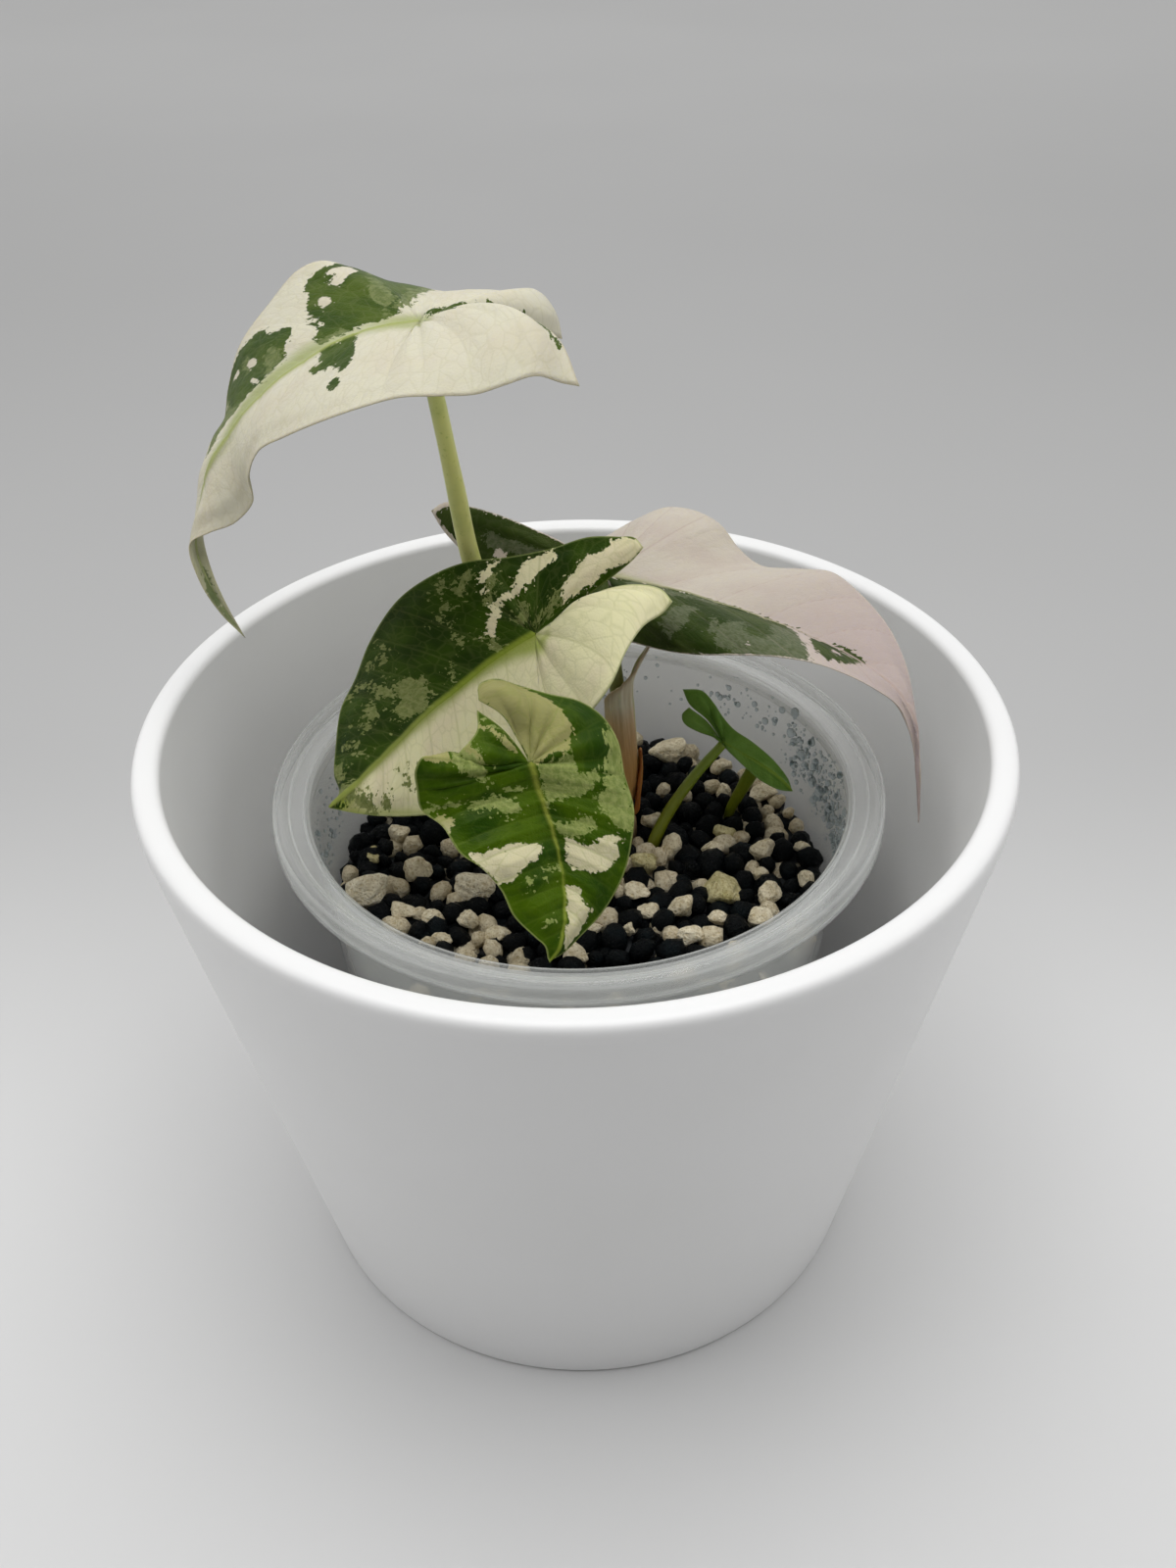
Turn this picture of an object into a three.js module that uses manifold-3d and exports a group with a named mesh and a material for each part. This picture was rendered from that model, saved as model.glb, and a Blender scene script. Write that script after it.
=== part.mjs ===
// A small variegated alocasia growing in a clear plastic pot that stands inside a white ceramic cachepot.
// Millimetres, +Z up. The origin is the centre of the cachepot's flat underside.
import * as THREE from "three";
import { mergeVertices } from "three/addons/utils/BufferGeometryUtils.js";
import Module from "manifold-3d";

const wasm = await Module();
wasm.setup();

// Clearance kept between pieces that touch.
const GAP = 0.3;

// Cachepot: a straight cone with a rounded rim.
const CACHEPOT_HEIGHT = 119.5;
const CACHEPOT_RIM_RADIUS = 80;
const CACHEPOT_BASE_RADIUS = 59;
const CACHEPOT_WALL = 5.2;
const CACHEPOT_FLOOR = 6;
const CACHEPOT_FOOT_BEVEL = 1.5;
const CACHEPOT_FILLET = 5;
const CACHEPOT_SEGMENTS = 48;

// Clear pot: its mouth is 103.4 mm across inside. Its rim steps up from a lip to a bead 117 mm across,
// with a skirt below the bead.
const CLEAR_POT_AXIS = [0.4, 3];
const CLEAR_POT_WALL = 0.8;
const CLEAR_POT_MOUTH_RADIUS = 51.7;
const CLEAR_POT_RIM_RADIUS = 58.5;
const CLEAR_POT_LIP_Z = 102.1;
const CLEAR_POT_BEAD_Z = 103.6;
const CLEAR_POT_SKIRT_Z = 99.4;
const CLEAR_POT_TAPER = 0.085;
const CLEAR_POT_FOOT_Z = CACHEPOT_FLOOR + GAP;
const CLEAR_POT_KICK_UP = 1.2;
const CLEAR_POT_SEGMENTS = 40;
const DRAIN_HOLES = 6;
const DRAIN_HOLE_RADIUS = 3;
const DRAIN_CIRCLE_RADIUS = 24;

// Mineral mix in the clear pot.
const SOIL_TOP = 79.5;
const SOIL_BEVEL = 1.5;
const FACET_SAG = 0.1;

// Corm and stalks.
const CORM_AXIS = [4.8, 16.8];
const CORM_TOP = 82.5;
const CORM_BOTTOM = 62;
const CORM_RADIUS = 7.6;
const CORM_SEGMENTS = 12;
const STALK_SIDES = 8;
const STALK_STEPS = 12;

// Leaf blades.
const BLADE_THICKNESS = 0.7;
const BLADE_ROWS = 12;
const FAN_ROWS = 7;
const BLADE_COLUMNS = 4;

// Leaf outlines. The midrib runs from the tip to the stalk. Each half's edge runs from the tip to the end
// of its basal lobe; fanFrom counts the edge points before the blade passes the stalk. The cleft runs from
// the stalk back out to the same lobe end.
const LEAVES = {
  leaf_tall: {
    midrib: [
      [-57, -4, 139], [-60.5, -2, 144.5], [-63, 0, 149.5], [-64, 2, 154], [-62.5, 4, 159.5],
      [-60.5, 5.5, 166], [-56.5, 7, 171.5], [-50, 8, 178], [-41.5, 9.5, 183.5], [-33, 11, 187],
      [-24, 12, 188],
    ],
    front: {
      edge: [
        [-61, -2.7, 143.4], [-63.8, -1.6, 149.2], [-64.8, 0.2, 155], [-61, -0.5, 157.5],
        [-56.5, 0, 159], [-53, 0.5, 162.5], [-52.5, -1.5, 168], [-50, -3, 173], [-44.5, -6.5, 177],
        [-37.5, -10, 181], [-31, -11, 183.5], [-25, -12.5, 185.5], [-19, -13.5, 186],
        [-13.5, -13, 186], [-9, -12, 187], [-4.5, -10, 187.5], [-0.5, -8, 185.5], [2, -8, 185],
      ],
      fanFrom: 11,
      cleft: [[-18, 13, 189.5], [-12, 9, 191], [-6, 5.5, 191], [-1, -0.5, 189.5]],
    },
    rear: {
      edge: [
        [-59.4, -2.1, 143.6], [-61.4, -0.2, 148.4], [-63.2, 3.4, 152.6], [-64, 7, 155.5],
        [-64, 10, 157.5], [-64, 13.5, 160.5], [-63, 17, 164.5], [-60.5, 20, 168.5],
        [-59.5, 23.5, 173.5], [-57, 26.5, 180], [-52, 30.5, 185.5], [-46.5, 33.5, 190.5],
        [-42, 33.5, 192], [-36.5, 35.5, 189.5], [-31, 37, 187], [-24, 38, 185], [-17, 38.5, 184.5],
        [-10, 38, 184.5], [-5, 36.5, 185], [-2, 34, 182], [-1, 32, 178],
      ],
      fanFrom: 12,
      cleft: [[-17.5, 16.5, 186.5], [-9.5, 20.5, 184.5], [-4, 25.5, 181.5]],
    },
  },
  leaf_centre: {
    midrib: [
      [-45.5, -10, 106], [-40.5, -8, 109.5], [-35.5, -5.5, 113.5], [-31, -3, 117],
      [-26.5, -0.5, 120.5], [-21, 2, 124], [-16.5, 4, 127], [-11.5, 5.5, 130], [-7, 7, 132],
    ],
    front: {
      edge: [
        [-41, -11, 105.5], [-35.5, -11.5, 105], [-28.5, -11.5, 105], [-20, -11, 106],
        [-11.5, -9.5, 109.5], [-4, -10.5, 117], [2, -11, 125.5], [6.5, -9.5, 131.5],
        [9.5, -4.5, 135.5], [12.5, 0, 137.5], [16.5, 5, 137.5], [18, 6, 139],
      ],
      fanFrom: 6,
      cleft: [[-1.5, 9, 135], [4.5, 9, 139.5], [11, 9, 141], [16, 8, 140.5]],
    },
    rear: {
      edge: [
        [-44, -6.5, 107], [-45, -4, 109], [-45, 0.5, 112], [-44, 5.5, 117.5], [-41.5, 10.5, 121],
        [-38.5, 14, 127], [-33, 17, 134], [-26.5, 18, 138.5], [-20, 18.5, 141], [-11.5, 18.5, 142],
        [-4, 18.5, 143.5], [3, 18, 146], [8.5, 16, 147], [11.5, 14.5, 147.5], [13, 13.5, 146],
      ],
      fanFrom: 8,
      cleft: [[-1, 9, 135.5], [5.5, 11, 140], [11, 12.5, 144]],
    },
  },
  leaf_front: {
    midrib: [
      [-5, -45, 99.5], [-3.5, -43.5, 101.5], [-2.5, -40.5, 104.5], [-2.5, -35.5, 109],
      [-4, -30.5, 115.5], [-6, -27, 121], [-7.5, -25, 126],
    ],
    front: {
      edge: [
        [-5.5, -44.5, 102.5], [-7, -44, 104], [-10.5, -42.5, 107.5], [-12.5, -40.5, 111.5],
        [-15.5, -39.5, 115.5], [-19, -38, 117.5], [-22, -34.5, 120.5], [-25.5, -32.5, 122.5],
        [-26, -31.5, 126], [-26, -31, 129.5], [-24.5, -30, 131.5], [-21, -29, 129.5],
        [-18, -27.5, 131.5], [-16, -25, 133], [-16, -22, 135],
      ],
      fanFrom: 9,
      cleft: [[-10, -23, 129], [-12.5, -23, 132.5]],
    },
    rear: {
      edge: [
        [-2.5, -43, 99.5], [0.5, -40.5, 101], [4.5, -37, 103.5], [8, -33, 108], [9.5, -29.5, 112.5],
        [10, -25.5, 116.5], [8.5, -21.5, 121], [7.5, -19, 126], [5, -16.5, 129.5], [1, -14.5, 131.5],
        [-4.5, -13.5, 132.5], [-9.5, -13, 134], [-13.5, -14, 136], [-16, -15, 135.5],
        [-16, -17.5, 134],
      ],
      fanFrom: 7,
      cleft: [[-9.5, -21.5, 128.5], [-12, -20, 132.5]],
    },
  },
  leaf_rear: {
    midrib: [
      [62, -16, 105], [61.5, -15, 110.5], [60.5, -14, 117.5], [59.5, -12, 124], [57, -9, 128],
      [52.5, -4, 130], [46.5, 1, 131.5], [38.5, 7, 132.5], [28.5, 14, 133], [18, 21, 133],
      [6.5, 27, 132.5],
    ],
    front: {
      edge: [
        [61.3, -15.1, 110.3], [60.4, -14.4, 116.8], [58.8, -13.9, 123.2], [56.5, -13, 128],
        [52.5, -13, 131.5], [47.5, -11, 133.5], [41.5, -10, 135.5], [35, -8.5, 136], [28.5, -4.5, 134],
        [22, 1.5, 130.5], [14.5, 10, 127], [5, 17, 126.5], [-5, 26, 126.5], [-14.5, 34, 128.5],
        [-21.5, 39, 132], [-26, 42, 136], [-28.2, 44, 139.2],
      ],
      fanFrom: 10,
      cleft: [
        [3, 29.5, 135], [-1.5, 34, 136.5], [-7.5, 37.5, 138], [-14.5, 40.5, 139.8], [-21, 43, 140.7],
        [-25.4, 44, 141],
      ],
    },
    rear: {
      edge: [
        [61.9, -15.2, 110.3], [61.2, -14.6, 116.9], [60.8, -11, 121.8], [60.5, -6, 125.5],
        [60, 0, 128.5], [58, 8.5, 131.5], [54, 16, 134], [49.5, 22, 135.5], [44, 27.5, 133.5],
        [37, 33, 131.5], [33, 36.5, 133.5], [29.5, 40, 137], [25, 44, 138], [19, 49, 136.5],
        [13.5, 49.5, 134], [8, 48, 131.5], [2.5, 46, 129], [-3, 43.5, 127], [-6, 40.5, 125.5],
      ],
      fanFrom: 12,
      cleft: [[2.5, 31.5, 129.5], [-2, 36, 126.5]],
    },
  },
  pup_leaf: {
    midrib: [
      [43.4, 12, 91.2], [40.5, 13.3, 93.8], [36.8, 14.8, 96.2], [32.5, 16.4, 98.4], [29.5, 17, 100.2],
    ],
    front: {
      edge: [
        [39.9, 9.5, 94], [36.4, 10.5, 95.8], [32.5, 11.5, 98.8], [29, 12.5, 102], [25.5, 13.5, 104],
        [21.8, 15, 105.5], [21.2, 16, 107],
      ],
      fanFrom: 3,
      cleft: [[26.5, 17.8, 103.5]],
    },
    rear: {
      edge: [
        [41.5, 14.5, 94.5], [36.8, 18, 98.2], [31.6, 20, 100.5], [29.4, 22, 102.4], [27, 23.5, 105.5],
        [24, 23.5, 109], [21.5, 22.5, 109.5],
      ],
      fanFrom: 2,
      cleft: [[26.5, 19.5, 103.5], [24, 21, 106.5]],
    },
  },
};

// Stalks: [x, y, z] points from the foot up, with the radius at the foot and at the blade.
const STALKS = {
  petiole_tall: {
    points: [
      [1, 19, 82.8], [1, 19, 84.5], [-3.5, 20.8, 92], [-9.5, 23, 106], [-15.2, 25, 122],
      [-19.3, 25.5, 138], [-21.2, 22.3, 156], [-22.6, 17, 173], [-23.9, 13, 186.4],
    ],
    radii: [2.6, 1.3],
  },
  petiole_centre: {
    points: [[2.6, 14, 82.8], [2.6, 14, 84.5], [0.5, 13.6, 97], [-3, 11.8, 114], [-6.8, 7.3, 130.8]],
    radii: [2.2, 1.2],
  },
  petiole_front: {
    points: [
      [7.6, 13, 82.8], [7.6, 13, 84.5], [6, 6, 95], [2, -5, 108], [-3, -16, 118], [-6.9, -23.6, 124.2],
    ],
    radii: [1.8, 1.1],
  },
  petiole_rear: {
    points: [
      [7.8, 19.2, 82.8], [7.8, 19.2, 84.5], [9.2, 20, 96], [8.8, 20.6, 106], [7.8, 21.8, 116],
      [7, 24.2, 124], [6.6, 26.4, 130.6],
    ],
    radii: [2, 1.2],
  },
};

// The offset: its leaf stalk, and a furled shoot that is still narrow at both ends.
const PUP_STALKS = {
  pup_petiole: {
    points: [
      [14.8, 9.8, 74], [15.4, 10.2, 79.5], [18.2, 11.8, 86], [23.5, 14.3, 93.5], [29, 16.6, 99.4],
    ],
    radii: [1.4, 0.95],
  },
  pup_spear: {
    points: [[31.2, 20.6, 74], [32.2, 20.8, 80], [34.4, 20.4, 86], [36.2, 19.6, 91], [37.3, 18.6, 95]],
    radii: [1.2, 0.7],
  },
};

// Angles count from +X towards +Y, so the sheath is open at the back.
const SHEATH_THICKNESS = 0.5;
const SHEATH_LEVELS = [
  { centre: [8, 18.9, 83.3], radius: 3.3, from: -215, to: 45 },
  { centre: [9, 19.4, 90], radius: 3.3, from: -215, to: 45 },
  { centre: [9.2, 19.9, 97], radius: 3, from: -210, to: 40 },
  { centre: [8.9, 20.2, 104], radius: 2.8, from: -200, to: 35 },
  { centre: [8.5, 20.7, 110], radius: 2.7, from: -150, to: 30 },
  { centre: [8.9, 21.2, 114], radius: 2.8, from: -70, to: 25 },
  { centre: [10.6, 22, 118], radius: 2.9, from: -25, to: 12 },
  { centre: [12.6, 22.6, 122], radius: 3, from: -12, to: 0 },
];

const SCALE_THICKNESS = 0.5;
const SCALE_LEVELS = [
  { centre: [8.2, 18.6, 83.2], radius: 4.6, from: -42, to: 62 },
  { centre: [8.6, 18.9, 87.5], radius: 4.4, from: -36, to: 56 },
  { centre: [9.1, 19.3, 92], radius: 4.1, from: -22, to: 40 },
  { centre: [9.3, 19.6, 97], radius: 3.8, from: -6, to: 10 },
];

// Larger stones on the mix: x, y, width and height of each.
const STONES = [
  [-41.7, -5.1, 8.8, 8.6], [-32.3, 1.7, 7.8, 6], [-42.5, 7.3, 5.4, 3.4], [-34, -10, 5.7, 3.8],
  [-28.1, -12.2, 5.4, 3.4], [-21.5, -13.3, 5.1, 5.4], [-15.5, -16.8, 6.2, 3.4], [-20.8, -4.1, 9.6, 8],
  [-26.2, -18, 5, 3], [-0.6, -22.7, 6.1, 3.6], [3, -16.2, 3.6, 2.8], [9.4, -16.6, 3.2, 3.4],
  [13.1, 2.4, 6, 6.2], [18.9, 7.1, 5.7, 6], [11.5, -5.4, 6.8, 3.8], [13.3, -11.4, 5, 3],
  [19.4, -10.9, 6.3, 6.6], [27.3, 6.8, 5.3, 3.9], [28.1, -5.9, 10, 5.8], [30.5, 13.2, 5.8, 3.4],
  [37.3, 5.6, 5.8, 6], [36.1, -0.5, 4.6, 3.4], [37.4, -7.8, 5.3, 5.7], [26.7, -13.8, 4.8, 3.7],
  [21, -18.7, 6, 4.2], [35, -13.8, 6, 3.4], [45.2, -3.1, 4.4, 4.6], [45.6, 7.7, 3.8, 3],
  [20, 41.7, 10.2, 5.9], [31.5, 34.9, 5.4, 5], [31.2, 26.4, 4.3, 4.4], [39.5, 25.4, 7.2, 4.2],
  [15.2, 15.9, 4.6, 5], [-37.3, 14.1, 5.3, 4.4],
];
const STONE_DEPTH_RATIO = 0.85;
const STONE_SUNK = 0.22;
const STONE_ROUGHNESS = 0.14;

const COLOURS = {
  ceramic: { color: 0xe9e9ea, roughness: 0.45 },
  clearPlastic: { color: 0xdfe4e4, roughness: 0.2, transparent: true, opacity: 0.4 },
  mix: { color: 0x1c2226, roughness: 0.95 },
  pumice: { color: 0xd9d0bd, roughness: 0.95 },
  corm: { color: 0x8a6f4c, roughness: 0.9 },
  papery: { color: 0xa8642a, roughness: 0.8 },
  sheath: { color: 0xcdbfa6, roughness: 0.6 },
  stalk: { color: 0x98a05a, roughness: 0.5 },
  leaf: { color: 0x5f7d46, roughness: 0.4 },
  pinkLeaf: { color: 0xd9c3bd, roughness: 0.5 },
  pup: { color: 0x5f8a3c, roughness: 0.4 },
};

const group = new THREE.Group();

function material(name) {
  return new THREE.MeshStandardMaterial({ metalness: 0, ...COLOURS[name] });
}

function add(name, geometry, colour) {
  const mesh = new THREE.Mesh(geometry, material(colour));
  mesh.name = name;
  group.add(mesh);
  return mesh;
}

// Geometry with shared vertices, no flat-out triangles, and faces that point out of the body.
function closedBody(geometry) {
  const bare = geometry.index ? geometry.toNonIndexed() : geometry.clone();
  bare.deleteAttribute("normal");
  bare.deleteAttribute("uv");
  const merged = mergeVertices(bare, 1e-3);
  const position = merged.getAttribute("position");
  const index = [];
  const a = new THREE.Vector3();
  const b = new THREE.Vector3();
  const c = new THREE.Vector3();
  let volume = 0;
  for (let i = 0; i < merged.index.count; i += 3) {
    const corner = [0, 1, 2].map((k) => merged.index.getX(i + k));
    if (new Set(corner).size < 3) continue;
    a.fromBufferAttribute(position, corner[0]);
    b.fromBufferAttribute(position, corner[1]);
    c.fromBufferAttribute(position, corner[2]);
    volume += a.dot(b.cross(c));
    index.push(...corner);
  }
  if (volume < 0) {
    for (let i = 0; i < index.length; i += 3) {
      [index[i + 1], index[i + 2]] = [index[i + 2], index[i + 1]];
    }
  }
  merged.setIndex(index);
  return merged;
}

function solid(geometry) {
  return new wasm.Manifold(
    new wasm.Mesh({
      numProp: 3,
      vertProperties: new Float32Array(geometry.getAttribute("position").array),
      triVerts: new Uint32Array(geometry.index.array),
    }),
  );
}

function geometryOf(manifold) {
  const mesh = manifold.getMesh();
  return new THREE.BufferGeometry()
    .setAttribute("position", new THREE.BufferAttribute(mesh.vertProperties, 3))
    .setIndex(new THREE.BufferAttribute(mesh.triVerts, 1));
}

// A body turned about the Z axis from a closed profile of [radius, height] pairs.
function turned(profile, segments, axis = [0, 0]) {
  const points = profile.map(([r, z]) => new THREE.Vector2(r, z));
  const lathe = new THREE.LatheGeometry(points, segments);
  lathe.rotateX(Math.PI / 2);
  lathe.translate(axis[0], axis[1], 0);
  return closedBody(lathe);
}

// [radius, height] points on an arc about a centre, with angles in degrees from the outward direction.
function roundOver(centre, radius, from, to, steps) {
  return Array.from({ length: steps + 1 }, (_, i) => {
    const angle = THREE.MathUtils.degToRad(from + ((to - from) * i) / steps);
    return [centre[0] + radius * Math.cos(angle), centre[1] + radius * Math.sin(angle)];
  });
}

// Offsets an open line of [radius, height] points by half the wall to both sides and closes it into
// one profile.
function walled(line, wall) {
  const side = (sign) =>
    line.map((point, i) => {
      const before = line[Math.max(i - 1, 0)];
      const after = line[Math.min(i + 1, line.length - 1)];
      const along = new THREE.Vector2(after[0] - before[0], after[1] - before[1]).normalize();
      const r = point[0] === 0 ? 0 : point[0] - sign * along.y * (wall / 2);
      const z = point[0] === 0 ? point[1] + (sign * wall) / 2 : point[1] + sign * along.x * (wall / 2);
      return [r, z];
    });
  return [...side(1), ...side(-1).reverse()];
}

function curveThrough(points) {
  return new THREE.CatmullRomCurve3(
    points.map((p) => new THREE.Vector3(...p)),
    false,
    "centripetal",
  );
}

// A stalk that tapers along a smooth line: one ring of corners per step, closed at both ends.
function stalk(points, startRadius, endRadius, steps = STALK_STEPS) {
  const curve = curveThrough(points);
  const frames = curve.computeFrenetFrames(steps, false);
  const position = [];
  const index = [];
  for (let i = 0; i <= steps; i++) {
    const centre = curve.getPointAt(i / steps);
    const radius = THREE.MathUtils.lerp(startRadius, endRadius, i / steps);
    for (let k = 0; k < STALK_SIDES; k++) {
      const angle = (2 * Math.PI * k) / STALK_SIDES;
      const corner = centre
        .clone()
        .addScaledVector(frames.normals[i], radius * Math.cos(angle))
        .addScaledVector(frames.binormals[i], radius * Math.sin(angle));
      position.push(...corner.toArray());
    }
  }
  const at = (i, k) => i * STALK_SIDES + (k % STALK_SIDES);
  for (let i = 0; i < steps; i++) {
    for (let k = 0; k < STALK_SIDES; k++) {
      index.push(at(i, k), at(i, k + 1), at(i + 1, k + 1));
      index.push(at(i, k), at(i + 1, k + 1), at(i + 1, k));
    }
  }
  for (let k = 1; k < STALK_SIDES - 1; k++) {
    index.push(at(0, 0), at(0, k + 1), at(0, k));
    index.push(at(steps, 0), at(steps, k), at(steps, k + 1));
  }
  const tube = new THREE.BufferGeometry();
  tube.setAttribute("position", new THREE.Float32BufferAttribute(position, 3));
  tube.setIndex(index);
  return closedBody(tube);
}

// Two triangles for each cell of a grid of points, the same way round over the whole grid.
function gridTriangles(rows, flip) {
  const soup = [];
  for (let i = 0; i + 1 < rows.length; i++) {
    for (let j = 0; j + 1 < rows[i].length; j++) {
      const cell = [rows[i][j], rows[i + 1][j], rows[i + 1][j + 1], rows[i][j + 1]];
      const turn = flip ? [0, 2, 1, 0, 3, 2] : [0, 1, 2, 0, 2, 3];
      soup.push(...turn.map((k) => cell[k]));
    }
  }
  return soup;
}

// Gives a surface a thickness: the same triangles on both sides, joined by a strip round the open edge.
function thickened(soup, thickness) {
  const loose = new THREE.BufferGeometry();
  loose.setAttribute("position", new THREE.Float32BufferAttribute(soup.flatMap((p) => p.toArray()), 3));
  const sheet = mergeVertices(loose, 1e-3);
  const faces = [];
  for (let i = 0; i < sheet.index.count; i += 3) {
    const face = [0, 1, 2].map((k) => sheet.index.getX(i + k));
    if (new Set(face).size === 3) faces.push(face);
  }
  sheet.setIndex(faces.flat());
  sheet.computeVertexNormals();
  const count = sheet.getAttribute("position").count;
  const position = [];
  for (const sign of [0.5, -0.5]) {
    for (let i = 0; i < count; i++) {
      const corner = new THREE.Vector3().fromBufferAttribute(sheet.getAttribute("position"), i);
      const normal = new THREE.Vector3().fromBufferAttribute(sheet.getAttribute("normal"), i);
      position.push(...corner.addScaledVector(normal, sign * thickness).toArray());
    }
  }
  const edges = new Map();
  for (const [a, b, c] of faces) {
    for (const [from, to] of [[a, b], [b, c], [c, a]]) edges.set(from + "," + to, [from, to]);
  }
  const index = [];
  for (const [a, b, c] of faces) index.push(a, b, c, count + a, count + c, count + b);
  for (const [from, to] of edges.values()) {
    if (edges.has(to + "," + from)) continue;
    index.push(from, count + from, count + to, from, count + to, to);
  }
  const body = new THREE.BufferGeometry();
  body.setAttribute("position", new THREE.Float32BufferAttribute(position, 3));
  body.setIndex(index);
  return closedBody(body);
}

const smooth = (x) => THREE.MathUtils.smoothstep(x, 0, 1);

// One half of a blade. Rows start on the midrib and end on the edge; past the stalk they all start at the
// stalk and fan round into the basal lobe, and the last row follows the cleft between the lobes.
function halfBlade(midrib, half) {
  const stalkEnd = new THREE.Vector3(...midrib[midrib.length - 1]);
  const rib = curveThrough(midrib);
  const edge = curveThrough([midrib[0], ...half.edge]);
  const lobeTip = half.edge[half.edge.length - 1];
  const cleft = curveThrough([midrib[midrib.length - 1], ...half.cleft, lobeTip]);
  const divisions = 20 * half.edge.length;
  const lengths = edge.getLengths(divisions);
  const fanStart = lengths[20 * half.fanFrom] / lengths[divisions];
  const rows = [];
  for (let i = 0; i <= BLADE_ROWS + FAN_ROWS; i++) {
    const along = Math.min(i / BLADE_ROWS, 1);
    const fan = Math.max(i - BLADE_ROWS, 0) / FAN_ROWS;
    const from = rib.getPointAt(along);
    const to = edge.getPointAt(THREE.MathUtils.lerp(fanStart * along, 1, fan));
    const row = [];
    for (let j = 0; j <= BLADE_COLUMNS; j++) {
      const across = j / BLADE_COLUMNS;
      const point = from.clone().lerp(to, across);
      const straight = stalkEnd.clone().lerp(new THREE.Vector3(...lobeTip), across);
      point.addScaledVector(cleft.getPointAt(across).sub(straight), smooth(fan));
      row.push(point);
    }
    rows.push(row);
  }
  return rows;
}

function blade({ midrib, front, rear }, thickness = BLADE_THICKNESS) {
  const soup = [
    ...gridTriangles(halfBlade(midrib, front), false),
    ...gridTriangles(halfBlade(midrib, rear), true),
  ];
  return thickened(soup, thickness);
}

function cachepot() {
  const slope = (CACHEPOT_RIM_RADIUS - CACHEPOT_BASE_RADIUS) / CACHEPOT_HEIGHT;
  const lean = THREE.MathUtils.radToDeg(Math.atan(slope));
  const rimRound = CACHEPOT_WALL / 2;
  const rimCentre = [CACHEPOT_RIM_RADIUS - rimRound, CACHEPOT_HEIGHT - rimRound];
  const innerRadius = (z) => CACHEPOT_BASE_RADIUS + slope * z - CACHEPOT_WALL;
  const filletTop = CACHEPOT_FLOOR + CACHEPOT_FILLET;
  const filletCentre = [innerRadius(filletTop) - CACHEPOT_FILLET, filletTop];
  const profile = [
    [0, 0],
    [CACHEPOT_BASE_RADIUS - CACHEPOT_FOOT_BEVEL, 0],
    [CACHEPOT_BASE_RADIUS, CACHEPOT_FOOT_BEVEL],
    ...roundOver(rimCentre, rimRound, -lean, 180 - lean, 8),
    ...roundOver(filletCentre, CACHEPOT_FILLET, -lean, -90, 3),
    [0, CACHEPOT_FLOOR],
  ];
  return turned(profile, CACHEPOT_SEGMENTS);
}

// Radius of the middle of the clear pot's tapered wall at a height.
function clearPotRadius(z) {
  return CLEAR_POT_MOUTH_RADIUS - CLEAR_POT_TAPER * (CLEAR_POT_LIP_Z - z);
}

// Middle line of the clear pot's wall, from the centre of its base up to the lower edge of the rim's skirt.
function clearPotLine() {
  const half = CLEAR_POT_WALL / 2;
  const foot = CLEAR_POT_FOOT_Z + half;
  const lip = CLEAR_POT_LIP_Z - half;
  const bead = CLEAR_POT_BEAD_Z - half;
  const mouth = CLEAR_POT_MOUTH_RADIUS + half;
  const rim = CLEAR_POT_RIM_RADIUS - half;
  const footRadius = clearPotRadius(foot);
  return [
    [0, foot + CLEAR_POT_KICK_UP],
    [footRadius - 9, foot + CLEAR_POT_KICK_UP],
    [footRadius - 7, foot],
    [footRadius - 1.5, foot],
    [clearPotRadius(foot + 1.5), foot + 1.5],
    [clearPotRadius(lip - 1.6), lip - 1.6],
    [mouth + 0.4, lip],
    [mouth + 2, lip - 0.2],
    [mouth + 3.4, lip + 0.4],
    [mouth + 4.2, bead - 0.2],
    [rim - 0.9, bead],
    [rim, bead - 0.8],
    [rim, CLEAR_POT_SKIRT_Z],
  ];
}

function clearPot() {
  let body = solid(turned(walled(clearPotLine(), CLEAR_POT_WALL), CLEAR_POT_SEGMENTS, CLEAR_POT_AXIS));
  for (let i = 0; i < DRAIN_HOLES; i++) {
    const angle = (2 * Math.PI * i) / DRAIN_HOLES;
    const hole = new THREE.CylinderGeometry(DRAIN_HOLE_RADIUS, DRAIN_HOLE_RADIUS, 8 * CLEAR_POT_WALL, 12);
    hole.rotateX(Math.PI / 2);
    hole.translate(
      CLEAR_POT_AXIS[0] + DRAIN_CIRCLE_RADIUS * Math.cos(angle),
      CLEAR_POT_AXIS[1] + DRAIN_CIRCLE_RADIUS * Math.sin(angle),
      CLEAR_POT_FOOT_Z + CLEAR_POT_KICK_UP,
    );
    body = body.subtract(solid(closedBody(hole)));
  }
  return geometryOf(body);
}

// Repeatable value from 0 to 1 for a whole number.
function scatter(seed) {
  const wave = Math.sin(seed * 127.1 + 11.7) * 43758.5453;
  return wave - Math.floor(wave);
}

// A rounded, uneven lump inside an ellipsoid of the given size; grow is a margin added all round.
function stone([x, y, width, height], seed, grow = 0) {
  const lump = new THREE.DodecahedronGeometry(1, 0);
  lump.deleteAttribute("normal");
  lump.deleteAttribute("uv");
  const merged = mergeVertices(lump, 1e-3);
  const position = merged.getAttribute("position");
  const corner = new THREE.Vector3();
  for (let i = 0; i < position.count; i++) {
    corner.fromBufferAttribute(position, i);
    corner.multiplyScalar(1 - STONE_ROUGHNESS * scatter(seed * 50 + i));
    position.setXYZ(i, ...corner.toArray());
  }
  merged.rotateZ(seed * 1.3);
  merged.scale(width / 2 + grow, (width * STONE_DEPTH_RATIO) / 2 + grow, height / 2 + grow);
  merged.translate(x, y, SOIL_TOP + height * (0.5 - STONE_SUNK));
  return closedBody(merged);
}

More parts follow.
